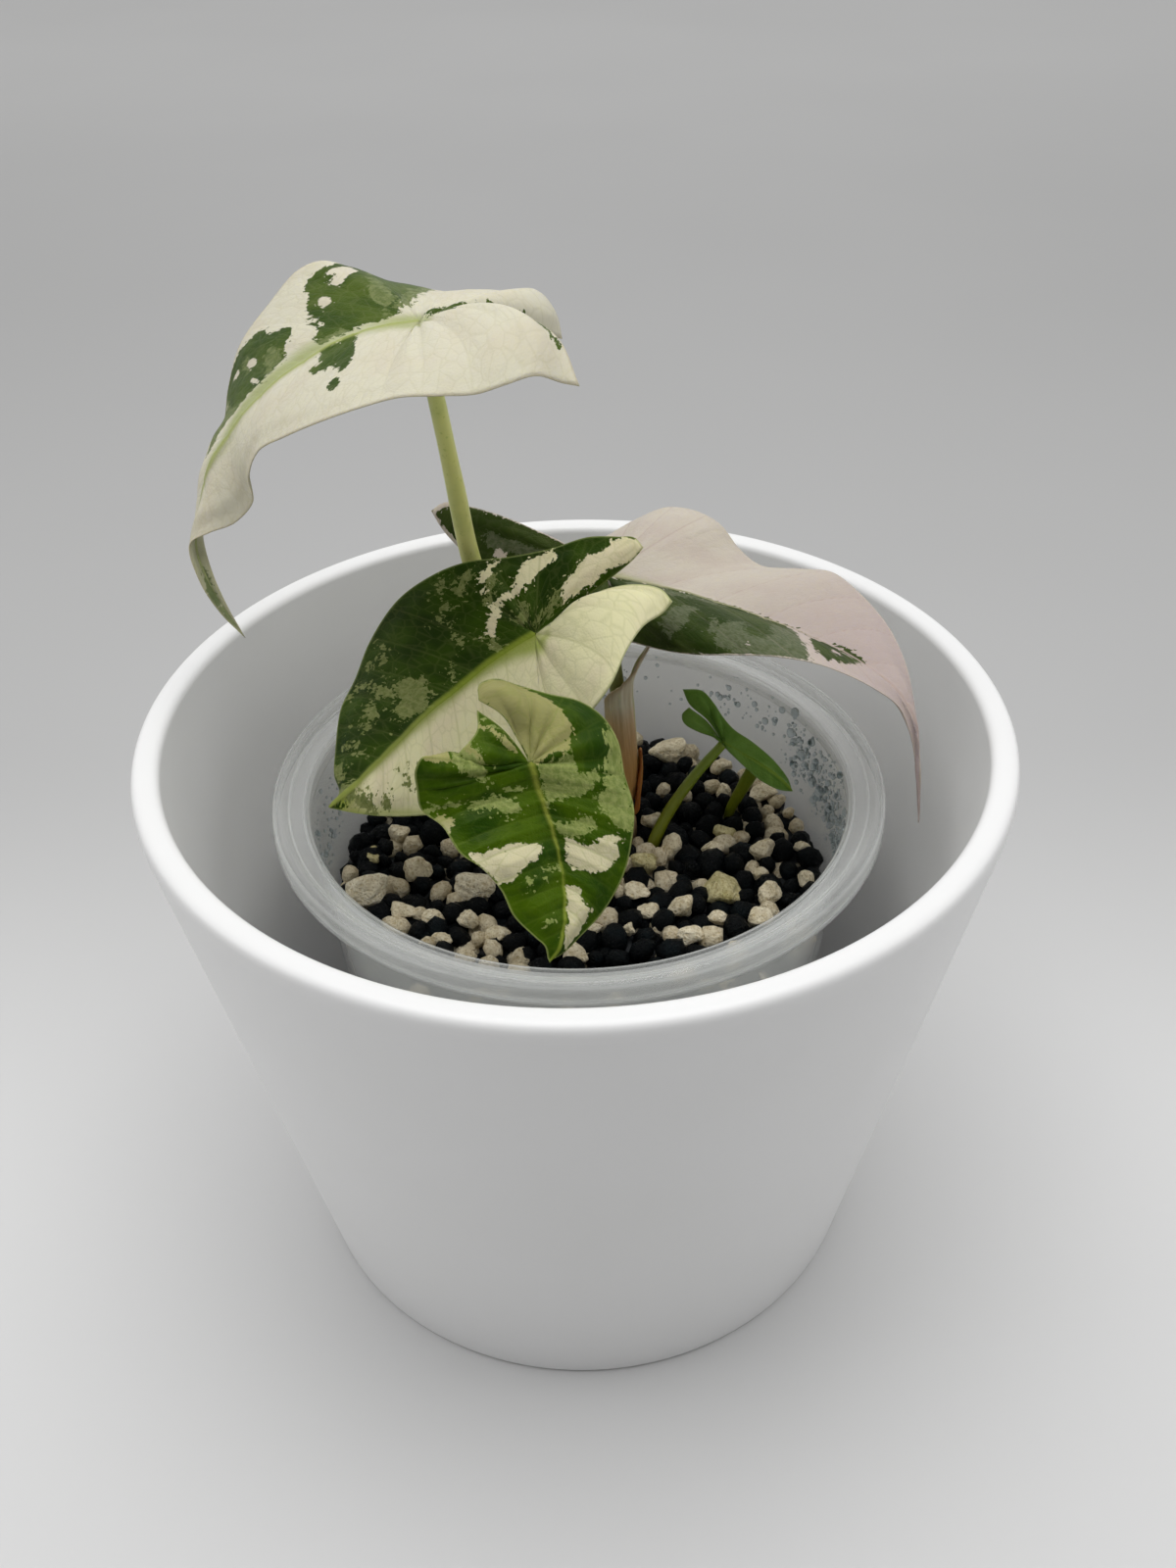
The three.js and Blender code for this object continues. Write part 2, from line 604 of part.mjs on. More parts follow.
// The corm's outline: a short turnip shape, flat on top. grow is a margin added all round.
function cormProfile(grow) {
  return [
    [0, CORM_BOTTOM - grow],
    [0.6 * CORM_RADIUS + grow, CORM_BOTTOM + 1.5 - grow],
    [CORM_RADIUS + grow, CORM_BOTTOM + 8],
    [CORM_RADIUS + grow, CORM_TOP - 1.2],
    [CORM_RADIUS - 1 + grow, CORM_TOP + grow],
    [0, CORM_TOP + grow],
  ];
}

// The mix fills the clear pot up to its surface, with hollows for the corm, the shoots and the stones.
function substrate() {
  const wallRadius = (z) => clearPotRadius(z) - CLEAR_POT_WALL / 2 - GAP - FACET_SAG;
  const bottom = CLEAR_POT_FOOT_Z + CLEAR_POT_KICK_UP + CLEAR_POT_WALL + GAP;
  const profile = [
    [0, bottom],
    [wallRadius(bottom) - SOIL_BEVEL, bottom],
    [wallRadius(bottom + SOIL_BEVEL), bottom + SOIL_BEVEL],
    [wallRadius(SOIL_TOP - SOIL_BEVEL), SOIL_TOP - SOIL_BEVEL],
    [wallRadius(SOIL_TOP) - SOIL_BEVEL, SOIL_TOP],
    [0, SOIL_TOP],
  ];
  let body = solid(turned(profile, CLEAR_POT_SEGMENTS, CLEAR_POT_AXIS));
  body = body.subtract(solid(turned(cormProfile(GAP), CORM_SEGMENTS, CORM_AXIS)));
  for (const shoot of Object.values(PUP_STALKS)) {
    const [[x, y, z], ...rest] = shoot.points;
    const hollow = stalk([[x, y, z - GAP], ...rest], shoot.radii[0] + GAP, shoot.radii[1] + GAP);
    body = body.subtract(solid(hollow));
  }
  STONES.forEach((size, i) => {
    body = body.subtract(solid(stone(size, i + 1, GAP)));
  });
  return geometryOf(body);
}

// A thin scale wrapped part of the way round a line. Each level gives its centre, radius and arc in degrees.
function wrap(levels, thickness, columns = 8) {
  const rows = levels.map(({ centre, radius, from, to }) =>
    Array.from({ length: columns + 1 }, (_, j) => {
      const angle = THREE.MathUtils.degToRad(from + ((to - from) * j) / columns);
      return new THREE.Vector3(
        centre[0] + radius * Math.cos(angle),
        centre[1] + radius * Math.sin(angle),
        centre[2],
      );
    }),
  );
  return thickened(gridTriangles(rows, false), thickness);
}

add("cachepot", cachepot(), "ceramic");
add("nursery_pot", clearPot(), "clearPlastic");
add("substrate", substrate(), "mix");
add("corm", turned(cormProfile(0), CORM_SEGMENTS, CORM_AXIS), "corm");
add("cataphyll", wrap(SCALE_LEVELS, SCALE_THICKNESS, 6), "papery");
add("petiole_sheath", wrap(SHEATH_LEVELS, SHEATH_THICKNESS), "sheath");
for (const [name, { points, radii }] of Object.entries(STALKS)) {
  add(name, stalk(points, radii[0], radii[1]), "stalk");
}
for (const [name, { points, radii }] of Object.entries(PUP_STALKS)) {
  add(name, stalk(points, radii[0], radii[1]), "pup");
}
for (const [name, outline] of Object.entries(LEAVES)) {
  const colour = { leaf_rear: "pinkLeaf", pup_leaf: "pup" }[name] ?? "leaf";
  add(name, blade(outline), colour);
}
STONES.forEach((size, i) => {
  add("pumice_stone_" + String(i + 1).padStart(2, "0"), stone(size, i + 1), "pumice");
});

export default group;
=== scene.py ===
"""Fine shapes and finishes of a small variegated alocasia in a clear pot inside a white ceramic cachepot.

Everything is in metres, +Z up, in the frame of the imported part. Outlines are written in millimetres and
turned into metres by MM.
"""

import logging
from dataclasses import dataclass
from enum import Enum
from typing import Sequence

import bpy
import numpy as np
from mathutils import Matrix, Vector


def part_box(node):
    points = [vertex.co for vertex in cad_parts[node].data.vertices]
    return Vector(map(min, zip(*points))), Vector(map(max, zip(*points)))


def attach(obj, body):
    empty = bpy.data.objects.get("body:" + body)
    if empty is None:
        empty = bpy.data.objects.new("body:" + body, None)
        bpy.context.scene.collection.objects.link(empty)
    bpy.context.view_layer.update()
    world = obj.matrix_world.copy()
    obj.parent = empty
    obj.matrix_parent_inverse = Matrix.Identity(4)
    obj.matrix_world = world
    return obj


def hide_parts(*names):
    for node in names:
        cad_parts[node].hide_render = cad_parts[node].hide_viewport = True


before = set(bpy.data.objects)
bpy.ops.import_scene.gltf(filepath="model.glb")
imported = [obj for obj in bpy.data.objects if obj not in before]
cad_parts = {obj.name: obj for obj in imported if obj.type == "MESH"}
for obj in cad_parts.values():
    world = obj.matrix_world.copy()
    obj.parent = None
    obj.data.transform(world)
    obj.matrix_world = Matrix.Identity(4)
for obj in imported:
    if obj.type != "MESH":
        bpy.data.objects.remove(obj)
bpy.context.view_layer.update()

LOG = logging.getLogger("alocasia")
MM = 0.001
BODY = "root"
SPAN_SAMPLES = 24
# Millimetres that stand for out of reach: of a gap, and of a signed depth.
FAR = 99.0
DEEPEST = 9.0
TINY = 1e-6

Array = np.ndarray
Colour = tuple[float, float, float]
Place = tuple[float, float, float]
Material = bpy.types.Material
Node = bpy.types.Node
Piece = bpy.types.Object
Socket = bpy.types.NodeSocket
Tree = bpy.types.NodeTree


def smoothstep(x: Array) -> Array:
    """The curve 3x^2 - 2x^3 on values held between 0 and 1."""
    x = np.clip(x, 0.0, 1.0)
    return x * x * (3.0 - 2.0 * x)


def line_mark(gap: Array) -> Array:
    """The bell curve exp(-x^2): 1 on a line, falling off with the gap to it."""
    return np.exp(-(gap**2))


def unit(vectors: Array) -> Array:
    """Vectors divided by their lengths."""
    return vectors / np.maximum(np.linalg.norm(vectors, axis=-1, keepdims=True), 1e-12)


def polar(radius: Array | float, angle: Array) -> Array:
    """The places (r cos a, r sin a)."""
    return np.stack([radius * np.cos(angle), radius * np.sin(angle)], -1)


def dense_line(points: Sequence[Sequence[float]], per_span: int = SPAN_SAMPLES) -> Array:
    """Points on a centripetal Catmull-Rom line through the given points.

    Each span is the cubic whose end slopes come from its neighbours, with knots spaced by the square root of
    the distance between points.

    Args:
        points: the points that the line passes.
        per_span: samples on each span.

    Returns:
        Array of points, the last of which is the line's end.
    """
    given = np.asarray(points, float)
    padded = np.vstack([2 * given[:1] - given[1:2], given, 2 * given[-1:] - given[-2:-1]])
    a, b, c, d = padded[:-3], padded[1:-2], padded[2:-1], padded[3:]
    k0, k1, k2 = (np.sqrt(np.linalg.norm(q - p, axis=1))[:, None] for p, q in ((a, b), (b, c), (c, d)))
    slope_b = ((b - a) / k0 - (c - a) / (k0 + k1) + (c - b) / k1) * k1
    slope_c = ((c - b) / k1 - (d - b) / (k1 + k2) + (d - c) / k2) * k1
    t = (np.arange(per_span) / per_span)[None, :, None]
    b, c, slope_b, slope_c = (x[:, None, :] for x in (b, c, slope_b, slope_c))
    square = (3 * (c - b) - 2 * slope_b - slope_c) * t**2
    cubic = b + slope_b * t + square + (2 * (b - c) + slope_b + slope_c) * t**3
    return np.vstack([cubic.reshape(-1, given.shape[1]), given[-1:]])


def run_of(line: Array) -> Array:
    """Length along a line of points up to each point."""
    return np.concatenate([[0.0], np.cumsum(np.linalg.norm(np.diff(line, axis=0), axis=1))])


def along(line: Array, shares: Array) -> Array:
    """Points of a line at shares of its length, by linear interpolation on the run."""
    run = run_of(line)
    wanted = np.asarray(shares, float) * run[-1]
    return np.stack([np.interp(wanted, run, line[:, k]) for k in range(line.shape[1])], axis=-1)


def waves(points: Array, seed: int, reach: float, count: int = 9) -> Array:
    """Smooth repeatable noise: the mean of sines whose directions and phases come from the seed.

    Args:
        points: array of points, last axis x, y, z.
        seed: number that picks the sines.
        reach: how many radians the sines turn over one unit.
        count: how many sines are added.

    Returns:
        One value a point, mostly between -1 and 1.
    """
    rng = np.random.default_rng(seed)
    turn = unit(rng.normal(size=(count, 3))) * reach * rng.uniform(0.6, 1.4, (count, 1))
    phase = rng.uniform(0, 2 * np.pi, count)
    return np.sin(points @ turn.T + phase).sum(-1) / np.sqrt(count / 1.2)


def grid_triangles(index: Array) -> Array:
    """Two triangles for each cell of a grid of vertex numbers, without those that have two corners alike."""
    a, b, c, d = index[:-1, :-1], index[1:, :-1], index[1:, 1:], index[:-1, 1:]
    cells = np.concatenate([np.stack(corners, -1).reshape(-1, 3) for corners in ((a, b, c), (a, c, d))])
    return cells[(cells != np.roll(cells, -1, axis=1)).all(1)]


def outward(vertices: Array, triangles: Array) -> Array:
    """The triangles turned so that a closed shell's volume, the sum of a . (b x c) / 6, is positive."""
    a, b, c = (vertices[triangles[:, k]] for k in range(3))
    volume = np.einsum("ij,ij->i", a, np.cross(b, c)).sum()
    return triangles if volume > 0 else triangles[:, ::-1]


def vertex_normals(vertices: Array, triangles: Array) -> Array:
    """Unit normals: the sum of the area vectors of the triangles round each vertex."""
    a, b, c = (vertices[triangles[:, k]] for k in range(3))
    area = np.cross(b - a, c - a)
    total = np.zeros_like(vertices)
    for k in range(3):
        np.add.at(total, triangles[:, k], area)
    return unit(total)


def lathe(profile: Array, segments: int, axis: tuple[float, float] = (0.0, 0.0)) -> tuple[Array, Array]:
    """A closed body turned about a vertical axis.

    Each profile point (r, z) goes round the circle x = r cos a, y = r sin a. One on the axis is one vertex.

    Args:
        profile: (n, 2) radii and heights, a line that starts and ends on the axis or joins its own start.
        segments: steps round the circle.
        axis: x and y of the axis.

    Returns:
        Vertices and outward triangles.
    """
    angle = np.linspace(0, 2 * np.pi, segments, endpoint=False)[:, None]
    ring = np.asarray(axis) + polar(profile[None, :, 0], angle)
    vertices = np.concatenate([ring, np.broadcast_to(profile[None, :, 1:], (*ring.shape[:2], 1))], -1)
    index = np.arange(segments * len(profile)).reshape(segments, -1)
    on_axis = profile[:, 0] < 1e-9
    index[:, on_axis] = index[0, on_axis]
    index = np.vstack([index, index[:1]])
    if not on_axis[0]:
        index = np.hstack([index, index[:, :1]])
    vertices = vertices.reshape(-1, 3)
    used, faces = compact(outward(vertices, grid_triangles(index)))
    return vertices[used], faces


def compact(triangles: Array) -> tuple[Array, Array]:
    """The numbers of the vertices that the triangles use, and the triangles counted in those."""
    used, numbers = np.unique(triangles, return_inverse=True)
    return used, numbers.reshape(-1, 3)


def repeated(faces: Array, size: int, count: int) -> Array:
    """The faces of so many copies of a shape that has size vertices."""
    return (faces[None] + size * np.arange(count)[:, None, None]).reshape(-1, 3)


def ball(rows: int, columns: int) -> tuple[Array, Array]:
    """Directions over a unit sphere on a grid of latitude and longitude, with closed poles."""
    polar_angle = np.linspace(0, np.pi, rows + 1)
    profile = np.stack([np.sin(polar_angle), np.cos(polar_angle)], -1)
    profile[[0, -1], 0] = 0.0
    return lathe(profile, columns)


def tube(line: Array, radii: Array, sides: int) -> tuple[Array, Array, Array]:
    """A round tube along a line, closed by a point at each end.

    The ring at a point P with tangent T is P + r (N cos a + B sin a), where N is T x Y and B is T x N.

    Args:
        line: (n, 3) centre points, never running along Y.
        radii: radius at each point.
        sides: corners of each ring.

    Returns:
        Vertices, outward triangles, and each vertex's share of the length.
    """
    tangent = unit(np.gradient(line, axis=0))
    normal = unit(np.cross(tangent, [0.0, 1.0, 0.0]))
    binormal = np.cross(tangent, normal)
    angle = np.linspace(0, 2 * np.pi, sides, endpoint=False)[None, :, None]
    spokes = normal[:, None] * np.cos(angle) + binormal[:, None] * np.sin(angle)
    rings = line[:, None] + radii[:, None, None] * spokes
    vertices = np.vstack([line[:1], rings.reshape(-1, 3), line[-1:]])
    body = 1 + np.arange(len(line) * sides).reshape(len(line), sides)
    index = np.vstack([np.zeros((1, sides), int), body, np.full((1, sides), len(vertices) - 1)])
    index = np.hstack([index, index[:, :1]])
    share = run_of(line) / run_of(line)[-1]
    shares = np.concatenate([[0.0], np.repeat(share, sides), [1.0]])
    return vertices, outward(vertices, grid_triangles(index)), shares


def thicken(middle: Array, offset: Array, triangles: Array) -> tuple[Array, Array]:
    """A closed plate: a sheet shifted to both of its sides, with a strip along its rim.

    The rim is made of the edges that no second triangle runs back along.

    Args:
        middle: (n, 3) places on the sheet.
        offset: half the thickness along the normal, at each place.
        triangles: the sheet's triangles.

    Returns:
        Vertices, first those of the upper face and then of the lower one, and the faces.
    """
    count = len(middle)
    edges = np.concatenate([triangles[:, pair] for pair in ([0, 1], [1, 2], [2, 0])])
    paired = np.isin(edges[:, 0] * count + edges[:, 1], edges[:, 1] * count + edges[:, 0])
    p, q = edges[~paired].T
    strip = np.concatenate([np.stack([p, count + p, count + q], -1), np.stack([p, count + q, q], -1)])
    faces = np.concatenate([triangles, triangles[:, ::-1] + count, strip])
    return np.vstack([middle + offset, middle - offset]), faces


def chaikin(line: Array, rounds: int = 3) -> Array:
    """Rounds the corners of an open line by cutting each at a quarter and three quarters of its sides."""
    for _ in range(rounds):
        near, far = 0.75 * line[:-1] + 0.25 * line[1:], 0.25 * line[:-1] + 0.75 * line[1:]
        line = np.vstack([line[:1], np.stack([near, far], 1).reshape(-1, line.shape[1])[1:-1], line[-1:]])
    return line


def set_values(mesh: bpy.types.Mesh, name: str, numbers: Array) -> None:
    """Stores one number a vertex under a name that the materials read."""
    attribute = mesh.attributes.new(name, "FLOAT", "POINT")
    attribute.data.foreach_set("value", np.ascontiguousarray(numbers, np.float32))


def make_mesh(
    name: str,
    vertices: Array,
    faces: Array,
    uv: Array | None = None,
    values: dict[str, Array] | None = None,
    smooth: bool = True,
) -> Piece:
    """Makes a mesh object at the origin from whole arrays.

    Args:
        name: the piece's name.
        vertices: (n, 3) places in metres.
        faces: (m, 3) vertex numbers.
        uv: (n, 2) texture place of each vertex, or None.
        values: named number of each vertex, for the materials.
        smooth: True for smooth shading.

    Returns:
        The new object, linked to the scene.
    """
    mesh = bpy.data.meshes.new(name)
    faces = np.ascontiguousarray(faces, np.int32)
    mesh.vertices.add(len(vertices))
    mesh.vertices.foreach_set("co", np.ascontiguousarray(vertices, np.float32).ravel())
    mesh.loops.add(faces.size)
    mesh.loops.foreach_set("vertex_index", faces.ravel())
    mesh.polygons.add(len(faces))
    mesh.polygons.foreach_set("loop_start", np.arange(0, faces.size, 3, dtype=np.int32))
    mesh.polygons.foreach_set("use_smooth", np.full(len(faces), smooth))
    mesh.update(calc_edges=True)
    if uv is not None:
        layer = mesh.uv_layers.new(name="skin")
        layer.data.foreach_set("uv", np.ascontiguousarray(uv[faces.ravel()], np.float32).ravel())
    for label, numbers in (values or {}).items():
        set_values(mesh, label, numbers)
    return place_object(name, mesh)


def place_object(name: str, data: bpy.types.ID) -> Piece:
    """Links a new object with the given data to the scene."""
    thing = bpy.data.objects.new(name, data)
    bpy.context.scene.collection.objects.link(thing)
    return thing


def dress(piece: Piece, material: Material, slot: str, *nodes: str) -> Piece:
    """Gives a piece its material, lets it ride on the body and stand for its nodes.

    Args:
        piece: the new object.
        material: its finish.
        slot: the record's material slot; not used.
        nodes: the nodes that it replaces.

    Returns:
        The piece.
    """
    piece.data.materials.append(material)
    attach(piece, BODY)
    if nodes:
        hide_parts(*nodes)
    LOG.info("%s: %d faces", piece.name, len(piece.data.polygons))
    return piece


class Sketch:
    """Adds shader nodes to a tree. An input is given as a number, a colour or another node's output."""

    def __init__(self, tree: Tree) -> None:
        """Keeps the tree that the nodes go in."""
        self.tree = tree

    def add(self, kind: str, inputs: dict[str | int, object] | None = None, **settings: object) -> Node:
        """Adds a node.

        Args:
            kind: node type without its "ShaderNode" start.
            inputs: value or output socket for each input, by name or number.
            settings: the node's own properties, set before its inputs.

        Returns:
            The new node.
        """
        node = self.tree.nodes.new("ShaderNode" + kind)
        for key, value in settings.items():
            setattr(node, key, value)
        for key, value in (inputs or {}).items():
            socket = node.inputs[key]
            if isinstance(value, Socket):
                self.tree.links.new(value, socket)
            elif socket.type == "RGBA" and len(value) == 3:
                socket.default_value = (*value, 1.0)
            else:
                socket.default_value = value
        return node

    def math(self, operation: str, *operands: object, clamp: bool = False) -> Socket:
        """The result of a Math node."""
        return self.add("Math", dict(enumerate(operands)), operation=operation, use_clamp=clamp).outputs[0]

    def plus(self, first: object, second: object) -> Socket:
        """The sum of two values."""
        return self.math("ADD", first, second)

    def less(self, first: object, second: object) -> Socket:
        """The first value less the second."""
        return self.math("SUBTRACT", first, second)

    def times(self, first: object, second: object) -> Socket:
        """The product of two values."""
        return self.math("MULTIPLY", first, second)

    def step(self, value: object, low: object, high: object) -> Socket:
        """0 below low, 1 above high and a smooth step between; low may lie above high."""
        span = {"Value": value, "From Min": low, "From Max": high}
        return self.add("MapRange", span, interpolation_type="SMOOTHSTEP").outputs["Result"]

    def mix(self, share: object, first: object, second: object) -> Socket:
        """A colour between two colours."""
        return self.add("Mix", {0: share, 6: first, 7: second}, data_type="RGBA").outputs[2]

    def tint(self, share: object, base: object, factor: Colour) -> Socket:
        """A colour multiplied by a factor, by a share."""
        inputs = {0: share, 6: base, 7: factor}
        return self.add("Mix", inputs, data_type="RGBA", blend_type="MULTIPLY").outputs[2]

    def where(self) -> Socket:
        """Object coordinates."""
        return self.add("TexCoord").outputs["Object"]

    def skin(self, stretch: Colour = (1.0, 1.0, 1.0)) -> Socket:
        """The piece's own UV map, scaled along each direction."""
        layer = self.add("UVMap", uv_map="skin").outputs["UV"]
        return self.add("Mapping", {"Vector": layer, "Scale": stretch}).outputs["Vector"]

    def value(self, name: str) -> Socket:
        """A named number of the mesh."""
        return self.add("Attribute", attribute_name=name, attribute_type="GEOMETRY").outputs["Fac"]

    def noise(self, place: object, size: float, detail: float = 2.0, rough: float = 0.5) -> Socket:
        """Noise with lumps about size metres across."""
        inputs = {"Vector": place, "Scale": 1.0 / size, "Detail": detail, "Roughness": rough}
        return self.add("TexNoise", inputs).outputs["Fac"]

    def cells(self, place: object, size: float, feature: str = "F1", output: str = "Distance") -> Socket:
        """Voronoi cells about size metres across."""
        return self.add("TexVoronoi", {"Vector": place, "Scale": 1.0 / size}, feature=feature).outputs[output]

    def bump(self, height: object, depth: float) -> Socket:
        """A bump normal whose height of 1 stands for depth metres."""
        return self.add("Bump", {"Height": height, "Distance": depth, "Strength": 1.0}).outputs["Normal"]

    def shared(self, effect: Tree, inputs: dict[str, object]) -> Socket:
        """The output of a shared effect."""
        return self.add("Group", inputs, node_tree=effect).outputs[0]


class Finish(Sketch):
    """A new node material, to which the Principled shader is added last."""

    def __init__(self, name: str) -> None:
        """Makes the empty material."""
        self.material = bpy.data.materials.new(name)
        self.material.use_nodes = True
        super().__init__(self.material.node_tree)
        self.tree.nodes.clear()

    def shade(self, inputs: dict[str, object]) -> Material:
        """Adds the Principled shader with these inputs and gives the material."""
        shader = self.add("BsdfPrincipled", inputs)
        self.add("OutputMaterial", {"Surface": shader.outputs["BSDF"]})
        return self.material


class Effect(Sketch):
    """A new node group that several materials share; it gives one number."""

    def __init__(self, name: str, inputs: dict[str, str], output: str) -> None:
        """Makes the group with its inputs, each of the kind Float or Vector."""
        super().__init__(bpy.data.node_groups.new(name, "ShaderNodeTree"))
        for label, kind in inputs.items():
            self.tree.interface.new_socket(label, in_out="INPUT", socket_type="NodeSocket" + kind)
        self.tree.interface.new_socket(output, in_out="OUTPUT", socket_type="NodeSocketFloat")
        self.given = self.tree.nodes.new("NodeGroupInput").outputs

    def finish(self, result: Socket) -> Tree:
        """Links the result to the output and gives the group."""
        self.tree.links.new(result, self.tree.nodes.new("NodeGroupOutput").inputs[0])
        return self.tree


def ragged_edge() -> Tree:
    """Shared effect: turns a signed distance into a mask whose edge is ragged and speckled.

    The mask is a step of distance + reach x lumps + grain x (fine noise + flecks), all in millimetres.

    Returns:
        Node group with inputs Distance, Reach, Grain and Vector, and the output Mask.
    """
    numbers = dict.fromkeys(("Distance", "Reach", "Grain"), "Float")
    effect = Effect("ragged_edge", numbers | {"Vector": "Vector"}, "Mask")
    distance, reach, grain, place = (effect.given[k] for k in range(4))
    coarse = effect.times(effect.less(effect.noise(place, 3.2 * MM, 4.0, 0.62), 0.5), reach)
    fine = effect.times(effect.less(effect.noise(place, 0.75 * MM, 3.0, 0.6), 0.5), grain)
    fleck = effect.noise(place, 1.3 * MM, 3.0, 0.6)
    fleck = effect.less(effect.step(fleck, 0.60, 0.66), effect.step(fleck, 0.36, 0.30))
    fleck = effect.times(effect.times(fleck, grain), 0.42)
    total = effect.plus(distance, effect.plus(coarse, effect.plus(fine, fleck)))
    return effect.finish(effect.step(total, -0.12, 0.12))


def pores() -> Tree:
    """Shared effect: open pores of two sizes, as in pumice and fired clay.

    Returns:
        Node group with inputs Vector and Density, and the output Height, 0 in a pore and 1 on the surface.
    """
    effect = Effect("pores", {"Vector": "Vector", "Density": "Float"}, "Height")
    place = effect.given["Vector"]
    large = effect.step(effect.cells(place, 1.1 * MM), 0.12, effect.given["Density"])
    small = effect.step(effect.cells(place, 0.5 * MM), 0.1, 0.42)
    grain = effect.step(effect.noise(place, 0.8 * MM, 4.0, 0.7), 0.15, 0.7)
    return effect.finish(effect.times(effect.times(large, small), grain))


@dataclass(frozen=True)
class Glaze:
    """Satin white glaze with a few marks on the wall and the rim."""

    colour: Colour = (0.80, 0.80, 0.80)
    # Paler glaze low on the inner wall: painted light on the shaded inside.
    painted_light_inside: Colour = (0.95, 0.95, 0.95)
    roughness: float = 0.42
    # Small marks: x, y, z and radius in millimetres, and how dark they are.
    marks: tuple[tuple[float, ...], ...] = (
        (-48.6, -54.2, 78.0, 0.35, 0.7), (0.6, -71.2, 77.0, 0.32, 0.7), (6.2, -69.6, 68.0, 0.3, 0.55),
        (22.5, -62.0, 54.0, 2.2, 0.16), (-61.2, -50.0, 117.5, 0.55, 0.6), (-60.0, -47.0, 119.0, 0.4, 0.5),
    )

    def build(self) -> Material:
        """The material: near-white, paler low inside as painted light, a faint orange-peel bump, and marks as
        spheres that the wall cuts.
        """
        glaze = Finish("satin_glaze")
        place = glaze.where()
        cloud = glaze.noise(place, 40 * MM)
        # Painted light: the paler glaze where the inner wall lies in shade.
        colour = glaze.mix(glaze.value("inner"), self.colour, self.painted_light_inside)
        colour = glaze.tint(glaze.step(cloud, 0.35, 0.75), colour, (0.985, 0.985, 0.98))
        wobble = glaze.noise(place, 1.2 * MM)
        for x, y, z, radius, dark in self.marks:
            inputs = {0: place, 1: (x * MM, y * MM, z * MM)}
            gap = glaze.add("VectorMath", inputs, operation="DISTANCE").outputs["Value"]
            gap = glaze.plus(gap, glaze.times(wobble, radius * 1.1 * MM))
            share = glaze.times(glaze.step(gap, radius * 1.6 * MM, radius * 0.7 * MM), dark)
            colour = glaze.tint(share, colour, (0.30, 0.28, 0.26))
        return glaze.shade({
            "Base Color": colour,
            "Roughness": glaze.plus(glaze.times(cloud, 0.06), self.roughness - 0.03),
            "Normal": glaze.bump(glaze.noise(place, 2.2 * MM), 0.012 * MM),
            "Coat Weight": 0.12,
            "Coat Roughness": 0.25,
        })


@dataclass(frozen=True)
class ClearPlastic:
    """Clear, slightly milky plastic."""

    colour: Colour = (0.75, 0.765, 0.75)
    haze: float = 0.045
    grazing: float = 0.50
    grazing_power: float = 2.2
    roughness: float = 0.08

    def build(self) -> Material:
        """The material: mostly see-through, milkier on the rim, where it also carries painted highlight
        lines, and where the wall is seen along its surface.

        Alpha is haze + milk + grazing x facing^power. Milk, which holds the painted highlight lines, comes
        from the mesh and facing from Layer Weight.
        """
        clear = Finish("clear_plastic")
        place = clear.where()
        smear = clear.noise(place, 14 * MM, 4.0, 0.6)
        facing = clear.add("LayerWeight", {"Blend": 0.5}).outputs["Facing"]
        slant = clear.times(clear.math("POWER", facing, self.grazing_power), self.grazing)
        # Milk from the mesh, with the painted highlight lines of the rim.
        milk_and_highlights = clear.times(clear.value("milk_and_highlights"), clear.step(smear, -0.4, 0.6))
        return clear.shade({
            "Base Color": clear.tint(clear.step(smear, 0.35, 0.75), self.colour, (0.975, 0.98, 0.975)),
            "Roughness": self.roughness,
            "Alpha": clear.math("ADD", clear.plus(milk_and_highlights, self.haze), slant, clamp=True),
            "IOR": 1.49,
            "Specular IOR Level": 0.9,
            "Normal": clear.bump(clear.noise(place, 5 * MM), 0.006 * MM),
        })


@dataclass(frozen=True)
class Water:
    """Water in drops, tinted grey-blue as painted shade that darkens them."""

    # Grey-blue tint: painted shade that darkens the drops.
    colour: Colour = (0.64, 0.70, 0.715)

    def build(self) -> Material:
        """The material: clear and smooth, with the refraction of water and a grey-blue tint of painted shade.
        """
        water = Finish("water")
        soft = water.step(water.noise(water.where(), 3 * MM), 0.2, 0.8)
        return water.shade({
            "Base Color": self.colour,
            "Roughness": water.times(soft, 0.04),
            "Transmission Weight": 1.0,
            "IOR": 1.33,
        })


@dataclass(frozen=True)
class Granule:
    """Dark fired clay, wet."""

    colour: Colour = (0.0008, 0.0018, 0.0023)
    dust: Colour = (0.004, 0.009, 0.011)
    dry_roughness: float = 0.62
    wet_roughness: float = 0.30

    def build(self, pitted: Tree) -> Material:
        """The material: near-black with dust and pores, and a wet shine that comes and goes."""
        clay = Finish("wet_clay")
        place = clay.where()
        height = clay.shared(pitted, {"Vector": place, "Density": 0.35})
        dust = clay.step(clay.noise(place, 5 * MM, 3.0), 0.5, 0.75)
        wet = clay.step(clay.noise(place, 9 * MM), 0.35, 0.65)
        span = {"Value": wet, "To Min": self.dry_roughness, "To Max": self.wet_roughness}
        return clay.shade({
            "Base Color": clay.mix(clay.times(dust, 0.8), self.colour, self.dust),
            "Roughness": clay.add("MapRange", span).outputs["Result"],
            "Specular IOR Level": 0.11,
            "Normal": clay.bump(height, 0.22 * MM),
        })


